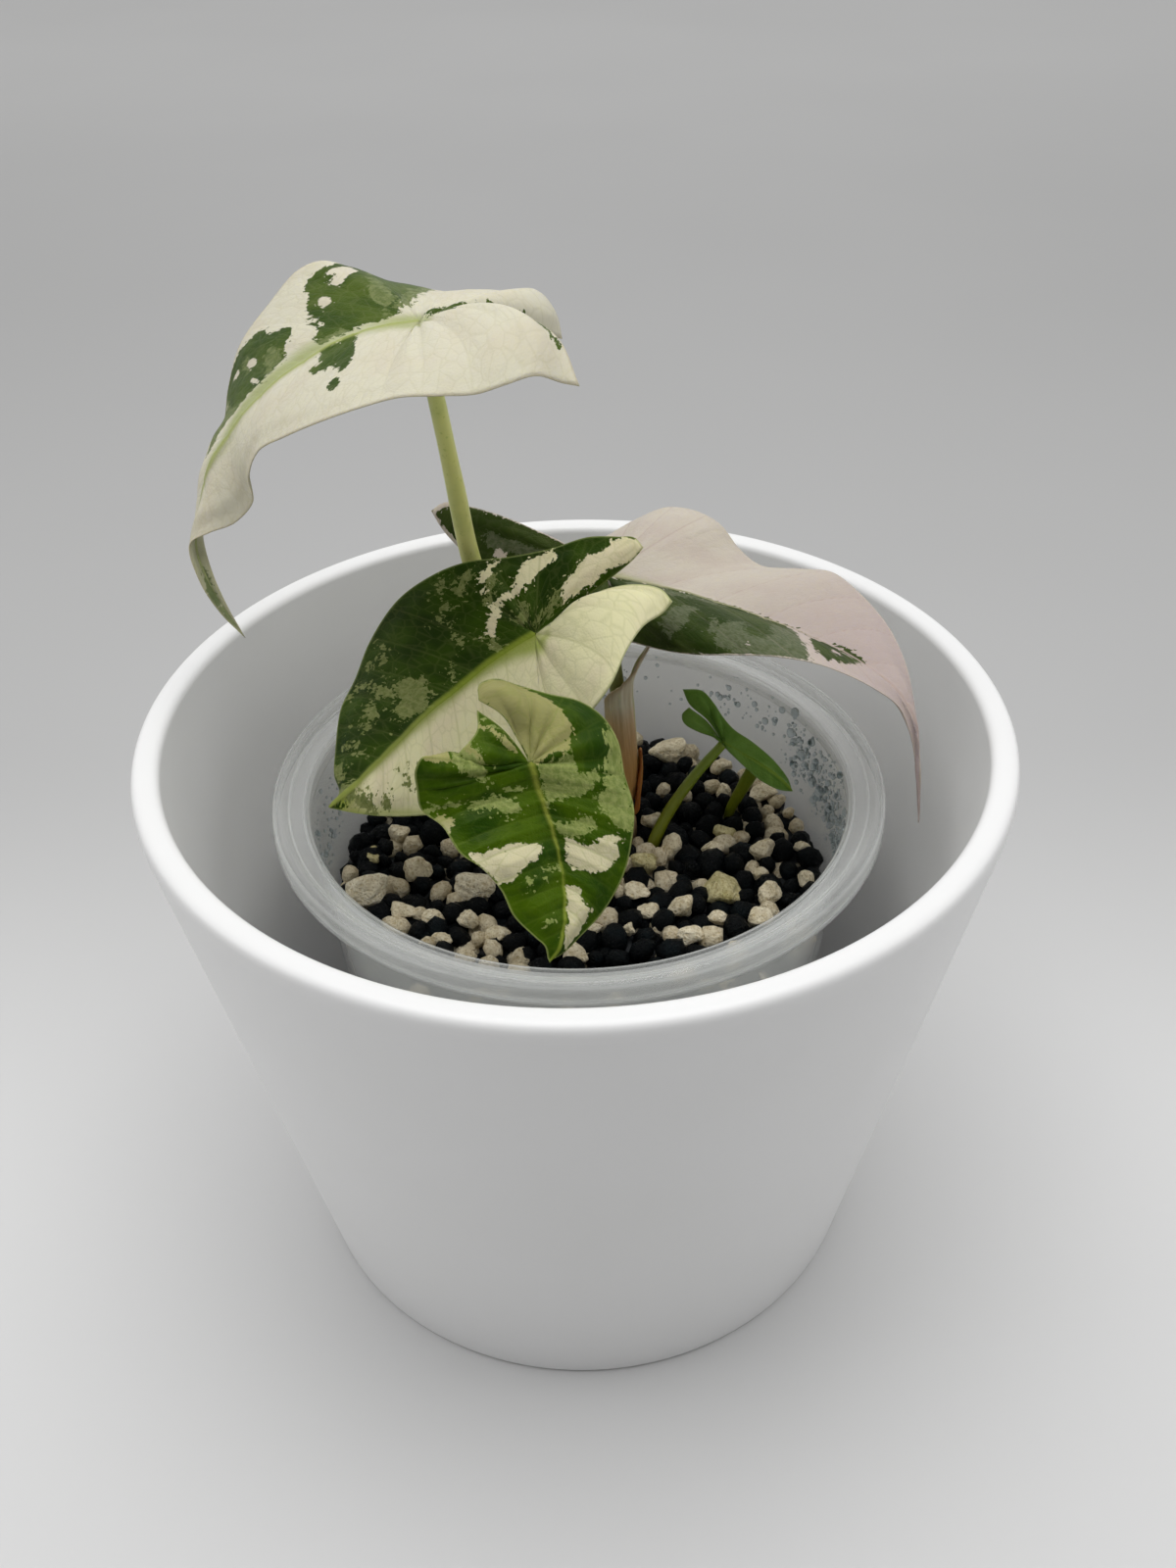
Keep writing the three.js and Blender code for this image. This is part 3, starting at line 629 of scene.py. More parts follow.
@dataclass(frozen=True)
class Pumice:
    """Porous pale stone: its colour and that of its stains."""

    name: str
    colour: Colour
    shade: Colour

    def build(self, pitted: Tree) -> Material:
        """The material: pale with stains, painted shade in the pores, and a coarse bump."""
        stone = Finish(self.name)
        place = stone.where()
        height = stone.shared(pitted, {"Vector": place, "Density": 0.42})
        stain = stone.step(stone.noise(place, 3.5 * MM, 4.0, 0.65), 0.42, 0.72)
        colour = stone.mix(stain, self.colour, self.shade)
        grain = stone.noise(place, 0.5 * MM, 3.0, 0.7)
        return stone.shade({
            # Painted shade: darker in the pores.
            "Base Color": stone.tint(stone.less(1.0, height), colour, (0.66, 0.60, 0.49)),
            "Roughness": 0.9,
            "Specular IOR Level": 0.2,
            "Normal": stone.bump(stone.plus(height, stone.times(grain, 0.35)), 0.24 * MM),
        })


@dataclass(frozen=True)
class MixFace:
    """The side of the mineral mix against the clear wall: round dark and pale grains."""

    dark: Colour = (0.012, 0.016, 0.018)
    pale: Colour = (0.36, 0.32, 0.23)
    grain_size: float = 5 * MM

    def build(self) -> Material:
        """The material: cells of two tones with painted shade in the gaps between them."""
        face = Finish("mix_face")
        place = face.where()
        tone = face.cells(place, self.grain_size, output="Color")
        pick = face.add("SeparateColor", {"Color": tone}).outputs["Red"]
        edge = face.cells(place, self.grain_size, "DISTANCE_TO_EDGE")
        colour = face.mix(face.step(pick, 0.70, 0.72), self.dark, self.pale)
        grain = face.noise(place, 1.0 * MM, 3.0, 0.6)
        return face.shade({
            # Painted shade in the gaps between the grains.
            "Base Color": face.tint(face.step(edge, 0.12, 0.02), colour, (0.15, 0.15, 0.15)),
            "Roughness": 0.7,
            "Normal": face.bump(face.plus(face.step(edge, 0.0, 0.3), face.times(grain, 0.2)), 1.0 * MM),
        })


@dataclass(frozen=True)
class StalkSkin:
    """Smooth stalk: colours at its foot, middle and blade end."""

    name: str
    foot: Colour
    middle: Colour
    top: Colour

    def build(self) -> Material:
        """The material: a blend along the stalk with fine streaks and flecks."""
        stalk = Finish(self.name)
        share = stalk.value("share")
        colour = stalk.mix(stalk.step(share, 0.0, 0.35), self.foot, self.middle)
        colour = stalk.mix(stalk.step(share, 0.45, 1.0), colour, self.top)
        streak = stalk.noise(stalk.skin((1.0, 0.06, 1.0)), 0.5 * MM, 3.0)
        colour = stalk.tint(stalk.step(streak, 0.4, 0.7), colour, (0.84, 0.88, 0.80))
        fleck = stalk.noise(stalk.where(), 0.7 * MM)
        return stalk.shade({
            "Base Color": stalk.tint(stalk.step(fleck, 0.62, 0.72), colour, (0.80, 0.86, 0.72)),
            "Roughness": 0.42,
            "Normal": stalk.bump(streak, 0.05 * MM),
            "Subsurface Weight": 0.25,
            "Subsurface Radius": (1.0, 0.9, 0.3),
            "Subsurface Scale": 1.0 * MM,
            "Coat Weight": 0.05,
            "Coat Roughness": 0.3,
        })


@dataclass(frozen=True)
class DryScale:
    """Thin papery skin: colours at its foot and tip, and at its two edges."""

    name: str
    foot: Colour
    tip: Colour
    first_edge: Colour
    second_edge: Colour
    roughness: float = 0.55

    def build(self) -> Material:
        """The material: blends along and across the scale with lengthwise fibres."""
        scale = Finish(self.name)
        rise, across = scale.value("share"), scale.value("across")
        colour = scale.mix(scale.step(rise, 0.02, 0.30), self.foot, self.tip)
        colour = scale.mix(scale.step(across, 0.28, 0.05), colour, self.first_edge)
        colour = scale.mix(scale.step(across, 0.74, 0.94), colour, self.second_edge)
        fibre = scale.noise(scale.skin((1.0, 0.05, 1.0)), 0.45 * MM, 4.0, 0.6)
        return scale.shade({
            "Base Color": scale.tint(scale.step(fibre, 0.38, 0.68), colour, (0.86, 0.82, 0.74)),
            "Roughness": self.roughness,
            "Normal": scale.bump(fibre, 0.12 * MM),
            "Subsurface Weight": 0.3,
            "Subsurface Radius": (1.0, 0.7, 0.35),
            "Subsurface Scale": 0.8 * MM,
        })


@dataclass(frozen=True)
class LeafSkin:
    """Variegated blade: the colour of each tissue and how ragged the borders are."""

    name: str
    pale: Colour
    warm: Colour
    blush: Colour
    lime: Colour
    deep: Colour
    deep_light: Colour
    sage: Colour
    rib: Colour
    rib_tip: Colour
    vein: Colour
    margin: Colour
    blush_span: tuple[float, float] = (0.66, 0.82)
    under: Colour = (0.30, 0.33, 0.20)
    reach: float = 2.4
    grain: float = 2.2
    # How strongly the fine net and the side veins show.
    net: float = 0.19
    ribs: float = 0.16
    roughness: float = 0.46

    def tissue(self, skin: Finish, ragged: Tree, flow: Socket, speck: Socket) -> tuple[Socket, Socket]:
        """Lays the tissues over each other: pale lowest, then lime, deep green, sage and the pale islands.

        Each mask is the ragged edge of a signed distance that the mesh holds in millimetres.

        Args:
            skin: the material.
            ragged: the ragged edge effect.
            flow: where on the blade.
            speck: small noise.

        Returns:
            The colour, and how much the veins show on it.
        """
        reaches = {"deep": (1.0, 1.0), "sage": (1.3, 1.4), "isle": (0.9, 0.7)}
        masks = []
        for name, (wide, fine) in reaches.items():
            inputs = {"Distance": skin.value(name), "Reach": wide * self.reach, "Grain": fine * self.grain}
            masks.append(skin.shared(ragged, inputs | {"Vector": flow}))
        deep, sage, isle = masks
        soft = skin.noise(flow, 8 * MM, 3.0)
        pale = skin.mix(skin.times(skin.step(soft, 0.42, 0.72), 0.6), self.pale, self.warm)
        pale = skin.mix(skin.step(skin.value("tip"), *self.blush_span), pale, self.blush)
        lime = skin.plus(skin.value("lime"), skin.times(soft, 2.0))
        colour = skin.mix(skin.times(skin.step(lime, -0.4, 2.8), 0.85), pale, self.lime)
        dark = skin.mix(skin.step(soft, 0.36, 0.66), self.deep, self.deep_light)
        colour = skin.mix(deep, colour, dark)
        cloudy = skin.tint(skin.step(speck, 0.40, 0.60), self.sage, (0.62, 0.70, 0.55))
        colour = skin.mix(sage, colour, cloudy)
        colour = skin.mix(isle, colour, skin.tint(1.0, pale, (0.99, 0.965, 0.98)))
        dark_share = skin.times(deep, skin.less(1.0, isle))
        return colour, skin.less(1.0, skin.times(dark_share, 0.7))

    def build(self, ragged: Tree) -> Material:
        """The material: the tissues, then the net of veins, midrib, margin and underside.

        Args:
            ragged: the ragged edge effect.

        Returns:
            The material.
        """
        skin = Finish(self.name)
        flow = skin.skin((1.0, 0.8, 1.0))
        speck = skin.noise(flow, 0.9 * MM, 4.0, 0.7)
        colour, clear = self.tissue(skin, ragged, flow, speck)
        net = skin.cells(skin.skin((1.0, 0.55, 1.0)), 1.7 * MM, "DISTANCE_TO_EDGE")
        lines = skin.times(skin.step(net, 0.09, 0.0), self.net)
        side = skin.times(skin.step(skin.value("vein"), 0.40, 0.06), self.ribs)
        colour = skin.mix(skin.times(skin.math("MAXIMUM", lines, side), clear), colour, self.vein)
        rib_colour = skin.mix(skin.step(skin.value("tip"), 0.3, 0.6), self.rib, self.rib_tip)
        colour = skin.mix(skin.times(skin.step(skin.value("rib"), 0.05, 1.0), 0.9), colour, rib_colour)
        margin = skin.times(skin.step(skin.value("edge"), 0.42, 0.12), 0.5)
        colour = skin.mix(margin, colour, self.margin)
        below = skin.mix(0.35, colour, self.under)
        relief = skin.plus(skin.times(skin.step(net, 0.0, 0.3), 0.7), skin.cells(skin.skin(), 0.35 * MM))
        return skin.shade({
            "Base Color": skin.mix(skin.step(skin.value("below"), 0.4, 0.6), colour, below),
            "Roughness": skin.plus(skin.times(speck, 0.16), self.roughness - 0.08),
            "Specular IOR Level": 0.14,
            "Specular Tint": (0.95, 1.0, 0.5, 1.0),
            "Normal": skin.bump(relief, 0.05 * MM),
            "Subsurface Weight": 0.2,
            "Subsurface Radius": (1.0, 0.9, 0.35),
            "Subsurface Scale": 0.8 * MM,
        })


class Tone(Enum):
    """Tissues that a mark paints on a blade."""

    LIME = "lime"
    DEEP = "deep"
    SAGE = "sage"
    ISLE = "isle"


LIME, DEEP, SAGE, ISLE = Tone
Rows = tuple[tuple[float, ...], ...]


def segment_gaps(points: Array, a: Array, b: Array) -> tuple[Array, Array]:
    """Gap from each point to the segment from a to b, and the nearest place's share of the segment."""
    run = b - a
    share = np.clip(((points - a) @ run) / max(run @ run, 1e-9), 0, 1)
    return np.linalg.norm(points - (a + share[..., None] * run), axis=-1), share


@dataclass(frozen=True)
class HalfGrid:
    """Half a blade as a grid of points in millimetres, with the along of each of its rows."""

    points: Array
    rows_along: Array

    def places(self, marks: Array) -> Array:
        """Places for (along, across) marks, by linear interpolation in the grid."""
        points = self.points
        row = np.interp(marks[:, 0], self.rows_along, np.arange(len(points)))
        column = np.clip(marks[:, 1], 0, 1) * (points.shape[1] - 1)
        r, c = (np.minimum(x.astype(int), n - 2) for x, n in zip((row, column), points.shape))
        down, over = (row - r)[:, None], (column - c)[:, None]
        near, far = (points[k, c] * (1 - over) + points[k, c + 1] * over for k in (r, r + 1))
        return near * (1 - down) + far * down

    def stroke_depth(self, marks: Array) -> Array:
        """How far inside a brush stroke each point lies: the radius at the nearest place less the gap to it.

        Args:
            marks: (n, 3) along, across and radius.

        Returns:
            Millimetres.
        """
        place, radius = self.places(marks), marks[:, 2]
        inside = np.full(self.points.shape[:2], -DEEPEST)
        for a, b, r_a, r_b in zip(place[:-1], place[1:], radius[:-1], radius[1:]):
            gap, share = segment_gaps(self.points, a, b)
            inside = np.maximum(inside, r_a + (r_b - r_a) * share - gap)
        return inside

    def patch_depth(self, corners: Array) -> Array:
        """How far inside a patch each point lies: the least gap to the segments of its outline.

        A point is inside where a line along the row crosses the outline an odd number of times.

        Args:
            corners: (n, 2) along and across.

        Returns:
            Millimetres.
        """
        ring = np.vstack([corners, corners[:1]])
        step = np.linspace(0, len(corners), 4 * len(corners) + 1)
        ring = np.stack([np.interp(step, np.arange(len(ring)), ring[:, k]) for k in (0, 1)], -1)
        place = self.places(ring)
        shape = self.points.shape[:2]
        s, v = self.rows_along[:, None], np.linspace(0, 1, shape[1])[None, :]
        gap, inside = np.full(shape, FAR), np.zeros(shape, bool)
        for a, b, (s_a, v_a), (s_b, v_b) in zip(place[:-1], place[1:], ring[:-1], ring[1:]):
            gap = np.minimum(gap, segment_gaps(self.points, a, b)[0])
            if s_a != s_b:
                inside ^= ((s_a > s) != (s_b > s)) & (v < v_a + (v_b - v_a) * (s - s_a) / (s_b - s_a))
        return np.where(inside, gap, -gap)


@dataclass(frozen=True)
class HalfBlade:
    """Outline and tissues of one half of a blade; lengths are in millimetres.

    The edge runs from the tip to the end of the basal lobe, and turn is the number of its point beside the
    stalk. Each row of marks is a tone and then the (along, across, radius) marks of a brush stroke or the
    (along, across) corners of a patch. Along runs from 0 at the tip to 100 at the stalk and 200 at the end of
    the lobe, and across from 0 on the midrib to 100 on the edge.
    """

    edge: Rows
    turn: int
    cleft: Rows
    marks: tuple[tuple[Tone | tuple[float, ...], ...], ...] = ()
    ground: Tone | None = None

    def surface(self, midrib: Rows, rows: int, fans: int, columns: int) -> HalfGrid:
        """The half as a grid of points.

        Up to the stalk, row i joins a point of the midrib to the point of the edge at the same share. Past it
        the rows fan out from the stalk to the rest of the edge, and bend by a smooth share until the last row
        is the cleft. A point is I (1 - v) + E v + s (cleft(v) - straight(v)).

        Args:
            midrib: the midrib's given points, from the tip.
            rows: cells from the tip to the stalk.
            fans: cells from the stalk to the end of the lobe.
            columns: cells from the midrib to the edge.

        Returns:
            Grid whose along runs from 0 to 2.
        """
        rib = dense_line(midrib)
        edge = dense_line([midrib[0], *self.edge])
        cleft = dense_line([midrib[-1], *self.cleft, self.edge[-1]])
        turn_share = run_of(edge)[SPAN_SAMPLES * self.turn] / run_of(edge)[-1]
        before = np.concatenate([np.linspace(0, 1, rows + 1), np.ones(fans)])
        fan = np.concatenate([np.zeros(rows + 1), np.linspace(0, 1, fans + 1)[1:]])
        inner = along(rib, before)[:, None]
        outer = along(edge, turn_share * before + (1 - turn_share) * fan)[:, None]
        v = np.linspace(0, 1, columns + 1)[:, None]
        bend = along(cleft, v[:, 0]) - (rib[-1] * (1 - v) + cleft[-1] * v)
        points = inner * (1 - v) + outer * v + smoothstep(fan)[:, None, None] * bend
        return HalfGrid(points, before + fan)

    def paint(self, grid: HalfGrid) -> dict[Tone, Array]:
        """Signed depths of the tissues: how far inside the nearest mark of its tone each point lies.

        Args:
            grid: the half's surface.

        Returns:
            Millimetres at each point, for each tone.
        """
        ground = np.full(grid.points.shape[:2], DEEPEST)
        depths = {tone: ground if tone is self.ground else -ground for tone in Tone}
        for tone, *row in self.marks:
            marks = np.array(row, float)
            marks[:, :2] /= 100
            measure = grid.stroke_depth if marks.shape[1] == 3 else grid.patch_depth
            depths[tone] = np.maximum(depths[tone], measure(marks))
        return {tone: np.clip(depth, -DEEPEST, DEEPEST) for tone, depth in depths.items()}


def joined(left: Array, right: Array) -> Array:
    """Two half grids as one, with the left one mirrored and the midrib taken from the right one."""
    return np.concatenate([left[:, :0:-1], right], axis=1)


@dataclass(frozen=True)
class Leaf:
    """One leaf blade, its node, finish, tissues and veins; lengths are in millimetres."""

    node: str
    slot: str
    skin: LeafSkin
    midrib: Rows
    front: HalfBlade
    rear: HalfBlade
    thickness: float = 0.5
    bulge: float = 1.0
    rib_width: float = 0.9
    rib_rise: float = 0.35
    pucker: float = 0.24
    groove: float = 0.12
    groove_width: float = 0.45
    vein_lean: float = 0.06
    soft_edge: float = 4.0
    # Where the side veins leave the midrib: 1 is the stalk, and past it they lie in the lobes.
    veins: tuple[float, ...] = (0.16, 0.27, 0.38, 0.50, 0.62, 0.74, 0.87, 1.08, 1.28, 1.50, 1.74)
    rows: int = 150
    fans: int = 60
    columns: int = 38

    def measures(self, sheet: Array, rows_along: Array) -> tuple[Array, Array, Array, Array]:
        """Gaps on the sheet in millimetres, and how far the blade swells between side veins.

        A gap across the rows is a difference in along times the pitch, the sheet's length for 1 of along.

        Args:
            sheet: grid of points over both halves.
            rows_along: along for each row.

        Returns:
            Gap to the nearest side vein, swelling from 0 on a vein to 1 between, gaps to midrib and edge.
        """
        a, v = rows_along[:, None], np.abs(np.linspace(-1, 1, sheet.shape[1]))[None, :]
        length = np.linalg.norm(np.gradient(sheet, axis=0), axis=-1)
        pitch = length / np.maximum(np.gradient(rows_along)[:, None], TINY)
        lean = a + self.vein_lean * v**1.5 * (a < 1)
        gap = np.stack([np.abs(lean - vein) for vein in self.veins]).min(0)
        swell = np.minimum(gap / (0.5 * np.diff(self.veins).mean()), 1.0)
        reach = np.linalg.norm(sheet - sheet[:, self.columns][:, None], axis=-1)
        on_left = np.arange(sheet.shape[1])[None, :, None] < self.columns
        edge = np.linalg.norm(sheet - np.where(on_left, sheet[:, :1], sheet[:, -1:]), axis=-1)
        return gap * pitch, swell, reach, np.minimum(edge, np.where(a > 1, (2.0 - a) * pitch, FAR))

    def build(self, ragged: Tree) -> Piece:
        """The blade: both halves on one sheet, with relief and thickness.

        The sheet rises by bulge x 4v(1 - v) between midrib and edge, sinks along each side vein and swells
        between veins. Both faces lie half the thickness off the sheet, and the thickness falls to a third at
        the edge.

        Args:
            ragged: the ragged edge effect.

        Returns:
            The piece.
        """
        halves = self.front, self.rear
        grids = [half.surface(self.midrib, self.rows, self.fans, self.columns) for half in halves]
        paints = [half.paint(grid) for half, grid in zip(halves, grids)]
        values = {}
        for tone in Tone:
            left, right = (paint[tone] for paint in paints)
            values[tone.value] = joined(left, right)
            values[tone.value][:, self.columns] = np.maximum(left[:, 0], right[:, 0])
        sheet, rows_along = joined(*(grid.points for grid in grids)), grids[0].rows_along
        shape = sheet.shape[:2]
        index = np.arange(np.prod(shape)).reshape(shape)
        index[0, :] = index[0, self.columns]
        index[self.rows + 1 :, self.columns] = index[self.rows, self.columns]
        triangles = grid_triangles(index)
        normal = vertex_normals(sheet.reshape(-1, 3), triangles).reshape(sheet.shape)
        if normal[self.rows // 2 : self.rows, :, 2].mean() < 0:
            triangles, normal = triangles[:, ::-1], -normal
        vein, swell, reach, edge = self.measures(sheet, rows_along)
        a = np.broadcast_to(rows_along[:, None], shape)
        v = np.abs(np.linspace(-1, 1, shape[1]))[None, :]
        body, before_stalk = smoothstep(edge / self.soft_edge), a <= 1 + TINY
        rib_half = self.rib_width * np.interp(a, [0, 0.15, 1.0, 2.0], [0.25, 0.55, 1.0, 1.0])
        relief = self.bulge * 4 * v * (1 - v) * body * smoothstep(a / 0.25)
        relief += body * (self.pucker * swell**2 - self.groove * line_mark(vein / self.groove_width))
        relief += self.rib_rise * line_mark(reach / (1.3 * rib_half + 0.05)) * before_stalk
        middle = (sheet + normal * relief[..., None]).reshape(-1, 3)
        half_thickness = 0.5 * self.thickness * (0.35 + 0.65 * smoothstep(edge / 0.9))
        offset = vertex_normals(middle, triangles) * half_thickness.reshape(-1, 1)
        vertices, faces = thicken(middle, offset, triangles)
        used, faces = compact(faces)
        values["vein"], values["edge"], values["tip"] = vein, edge, 1 - np.minimum(a, 1)
        values["rib"] = line_mark(reach / np.maximum(rib_half, 0.05)) * before_stalk
        values = {name: np.tile(grid.ravel(), 2)[used] for name, grid in values.items()}
        values["below"] = np.repeat([0.0, 1.0], len(middle))[used]
        length = np.linalg.norm(np.gradient(sheet[:, self.columns // 2], axis=0), axis=-1).cumsum()
        side = np.where(np.arange(shape[1]) < self.columns, -1.0, 1.0)[None, :]
        uv = np.stack([np.broadcast_to(length[:, None] * MM, shape), reach * side * MM], -1).reshape(-1, 2)
        piece = make_mesh(self.node + "_blade", vertices[used] * MM, faces, np.tile(uv, (2, 1))[used], values)
        return dress(piece, self.skin.build(ragged), self.slot, self.node)


@dataclass(frozen=True)
class Cachepot:
    """The white ceramic outer pot: a straight cone with a rounded rim; sizes are in millimetres."""

    height: float = 119.5
    rim_radius: float = 80.0
    base_radius: float = 59.0
    wall: float = 5.2
    floor: float = 6.0
    fillet: float = 5.0
    foot_round: float = 1.5
    # Power of the rim's superellipse: 1 is a half circle, and less is squarer.
    lip_square: float = 0.66
    segments: int = 224

    def profile(self) -> Array:
        """Radii and heights from the axis under the foot, up the outside, over the rim and down inside."""
        slope = (self.rim_radius - self.base_radius) / self.height
        lean = np.arctan(slope)
        round_r = self.wall / 2
        arc = polar(1.0, np.linspace(-lean, np.pi - lean, 33))
        centre = np.array([self.rim_radius - round_r, self.height - round_r])
        rim = centre + round_r * np.sign(arc) * np.abs(arc) ** self.lip_square
        foot_x = self.base_radius - self.foot_round + slope * self.foot_round
        foot_centre = np.array([foot_x, self.foot_round])
        foot = foot_centre + polar(self.foot_round, np.linspace(-np.pi / 2, -lean, 7))
        top = self.floor + self.fillet
        inner = self.base_radius + slope * top - self.wall - self.fillet
        fillet = np.array([inner, top]) + polar(self.fillet, np.linspace(-lean, -np.pi / 2, 11))
        outside = np.linspace(foot[-1], rim[0], 26)[1:-1]
        inside = np.linspace(rim[-1], fillet[0], 26)[1:-1]
        return np.vstack([[[0.0, 0.0]], foot, outside, rim, inside, fillet, [[0.0, self.floor]]]) * MM

    def build(self) -> Piece:
        """The turned pot with its glaze, which is a little paler deep inside as painted light in the shaded
        inside.
        """
        vertices, faces = lathe(self.profile(), self.segments)
        x, y, z = vertices.T / MM
        outside = self.base_radius + (self.rim_radius - self.base_radius) * z / self.height
        # Where the paler glaze goes: painted light on the inner wall low down, which lies in shade.
        inner = smoothstep((outside - np.hypot(x, y) - 2.8) / 1.2) * smoothstep((112 - z) / 40)
        piece = make_mesh("cachepot_shell", vertices, faces, values={"inner": inner})
        return dress(piece, Glaze().build(), "ceramic", "cachepot")


@dataclass(frozen=True)
class ClearPot:
    """The clear tub with its stepped rim; sizes are in millimetres."""

    axis: tuple[float, float] = (0.4, 3.0)
    wall: float = 0.8
    mouth_radius: float = 51.7
    rim_radius: float = 58.5
    lip: float = 102.1
    bead: float = 103.6
    skirt: float = 99.4
    taper: float = 0.085
    foot: float = 6.3
    kick_up: float = 1.2
    holes: int = 6
    hole_radius: float = 3.0
    hole_circle: float = 24.0
    segments: int = 192
    # Painted highlight lines on the rim, laid on as milk: how far out from the mouth, how wide and how
    # strong; then the skirt's painted highlight and the other milk.
    rim_highlight_lines: Rows = ((0.1, 0.2, 0.40), (0.9, 0.2, 0.22), (3.6, 0.2, 0.24), (6.4, 0.3, 0.3))
    front_haze: float = 0.32
    skirt_highlight: float = 0.3
    base_milk: float = 0.3

    def centre(self) -> tuple[float, float]:
        """The axis in metres."""
        return self.axis[0] * MM, self.axis[1] * MM

    def radius(self, z: Array | float) -> Array | float:
        """Radius of the middle of the tapered wall at a height."""
        return self.mouth_radius - self.taper * (self.lip - z)

    def line(self) -> Array:
        """Middle line of the wall, from the centre of the base up to the lower edge of the rim's skirt."""
        half = self.wall / 2
        foot, lip, bead = self.foot + half, self.lip - half, self.bead - half
        mouth, rim, base = self.mouth_radius + half, self.rim_radius - half, self.radius(foot)
        inner = [
            [0, foot + self.kick_up], [base - 9, foot + self.kick_up], [base - 7, foot], [base - 1.5, foot],
            [self.radius(foot + 1.5), foot + 1.5],
        ]
        outer = [
            [self.radius(lip - 1.6), lip - 1.6], [mouth + 0.4, lip], [mouth + 2, lip - 0.2],
            [mouth + 3.4, lip + 0.4], [mouth + 4.2, bead - 0.2], [rim - 0.9, bead], [rim, bead - 0.8],
            [rim, self.skirt],
        ]
        wall = np.linspace(inner[-1], outer[0], 24)
        base_turn, rim_turn = chaikin(np.vstack([inner, wall[1]])), chaikin(np.vstack([wall[-2], outer]))
        return np.vstack([base_turn, wall[2:-2], rim_turn])

    def shell(self) -> Array:
        """The middle line offset by half the wall to both sides, as one profile that joins its own start."""
        line = self.line()
        tangent = unit(np.gradient(line, axis=0))
        normal = np.stack([-tangent[:, 1], tangent[:, 0]], -1)
        normal[0] = [0.0, 1.0]
        above, below = (line + sign * 0.5 * self.wall * normal for sign in (1, -1))
        above[0, 0] = below[0, 0] = 0.0
        return np.vstack([above, below[::-1]]) * MM

    def bore(self, piece: Piece) -> bpy.types.Mesh:
        """The shell's mesh with the drainage holes cut through its base."""
        turn = 2 * np.pi * np.arange(self.holes) / self.holes
        low, high = self.foot - 1.0, self.foot + 5.0
        profile = np.array([[0, low], [self.hole_radius, low], [self.hole_radius, high], [0, high]]) * MM
        drill, faces = lathe(profile, 32)
        centres = np.zeros((self.holes, 1, 3))
        centres[:, 0, :2] = (np.asarray(self.axis) + polar(self.hole_circle, turn)) * MM
        faces = repeated(faces, len(drill), self.holes)
        tool = make_mesh("hole_cutter", (centres + drill).reshape(-1, 3), faces)
        cut = piece.modifiers.new("holes", "BOOLEAN")
        cut.operation, cut.solver, cut.object = "DIFFERENCE", "EXACT", tool
        evaluated = piece.evaluated_get(bpy.context.evaluated_depsgraph_get())
        bored = bpy.data.meshes.new_from_object(evaluated)
        piece.modifiers.clear()
        bpy.data.objects.remove(tool)
        return bored

    def milk_and_highlights(self, x: Array, y: Array, z: Array) -> Array:
        """How milky the plastic is on the upper and front wall and the base, with painted highlight lines on
        the rim and the skirt.
        """
        out = np.hypot(x - self.axis[0], y - self.axis[1]) - self.mouth_radius
        milk_and_highlights = 0.015 * smoothstep((out + 0.3) / 1.2) + 0.07 * smoothstep((z - 60) / 40)
        # Painted highlights: thin bright lines on the rim and along the skirt's lower edge.
        for place, width, strength in self.rim_highlight_lines:
            milk_and_highlights += strength * line_mark((out - place) / width) * (z > self.skirt - 1)
        milk_and_highlights += self.skirt_highlight * line_mark((z - self.skirt - 0.3) / 0.4) * (out > 4)
        front = smoothstep((self.axis[1] - y - 15) / 20)
        milk_and_highlights += self.front_haze * front * smoothstep((z - 66) / 14) * (z < self.skirt)
        return milk_and_highlights + self.base_milk * smoothstep((15 - z) / 6)

    def build(self) -> Piece:
        """The turned tub with its drainage holes cut through the base."""
        piece = make_mesh("nursery_pot_shell", *lathe(self.shell(), self.segments, self.centre()))
        piece.data = self.bore(piece)
        places = np.empty(3 * len(piece.data.vertices), np.float32)
        piece.data.vertices.foreach_get("co", places)
        set_values(piece.data, "milk_and_highlights", self.milk_and_highlights(*(places.reshape(-1, 3).T / MM)))
        return dress(piece, ClearPlastic().build(), "clear_plastic", "nursery_pot")


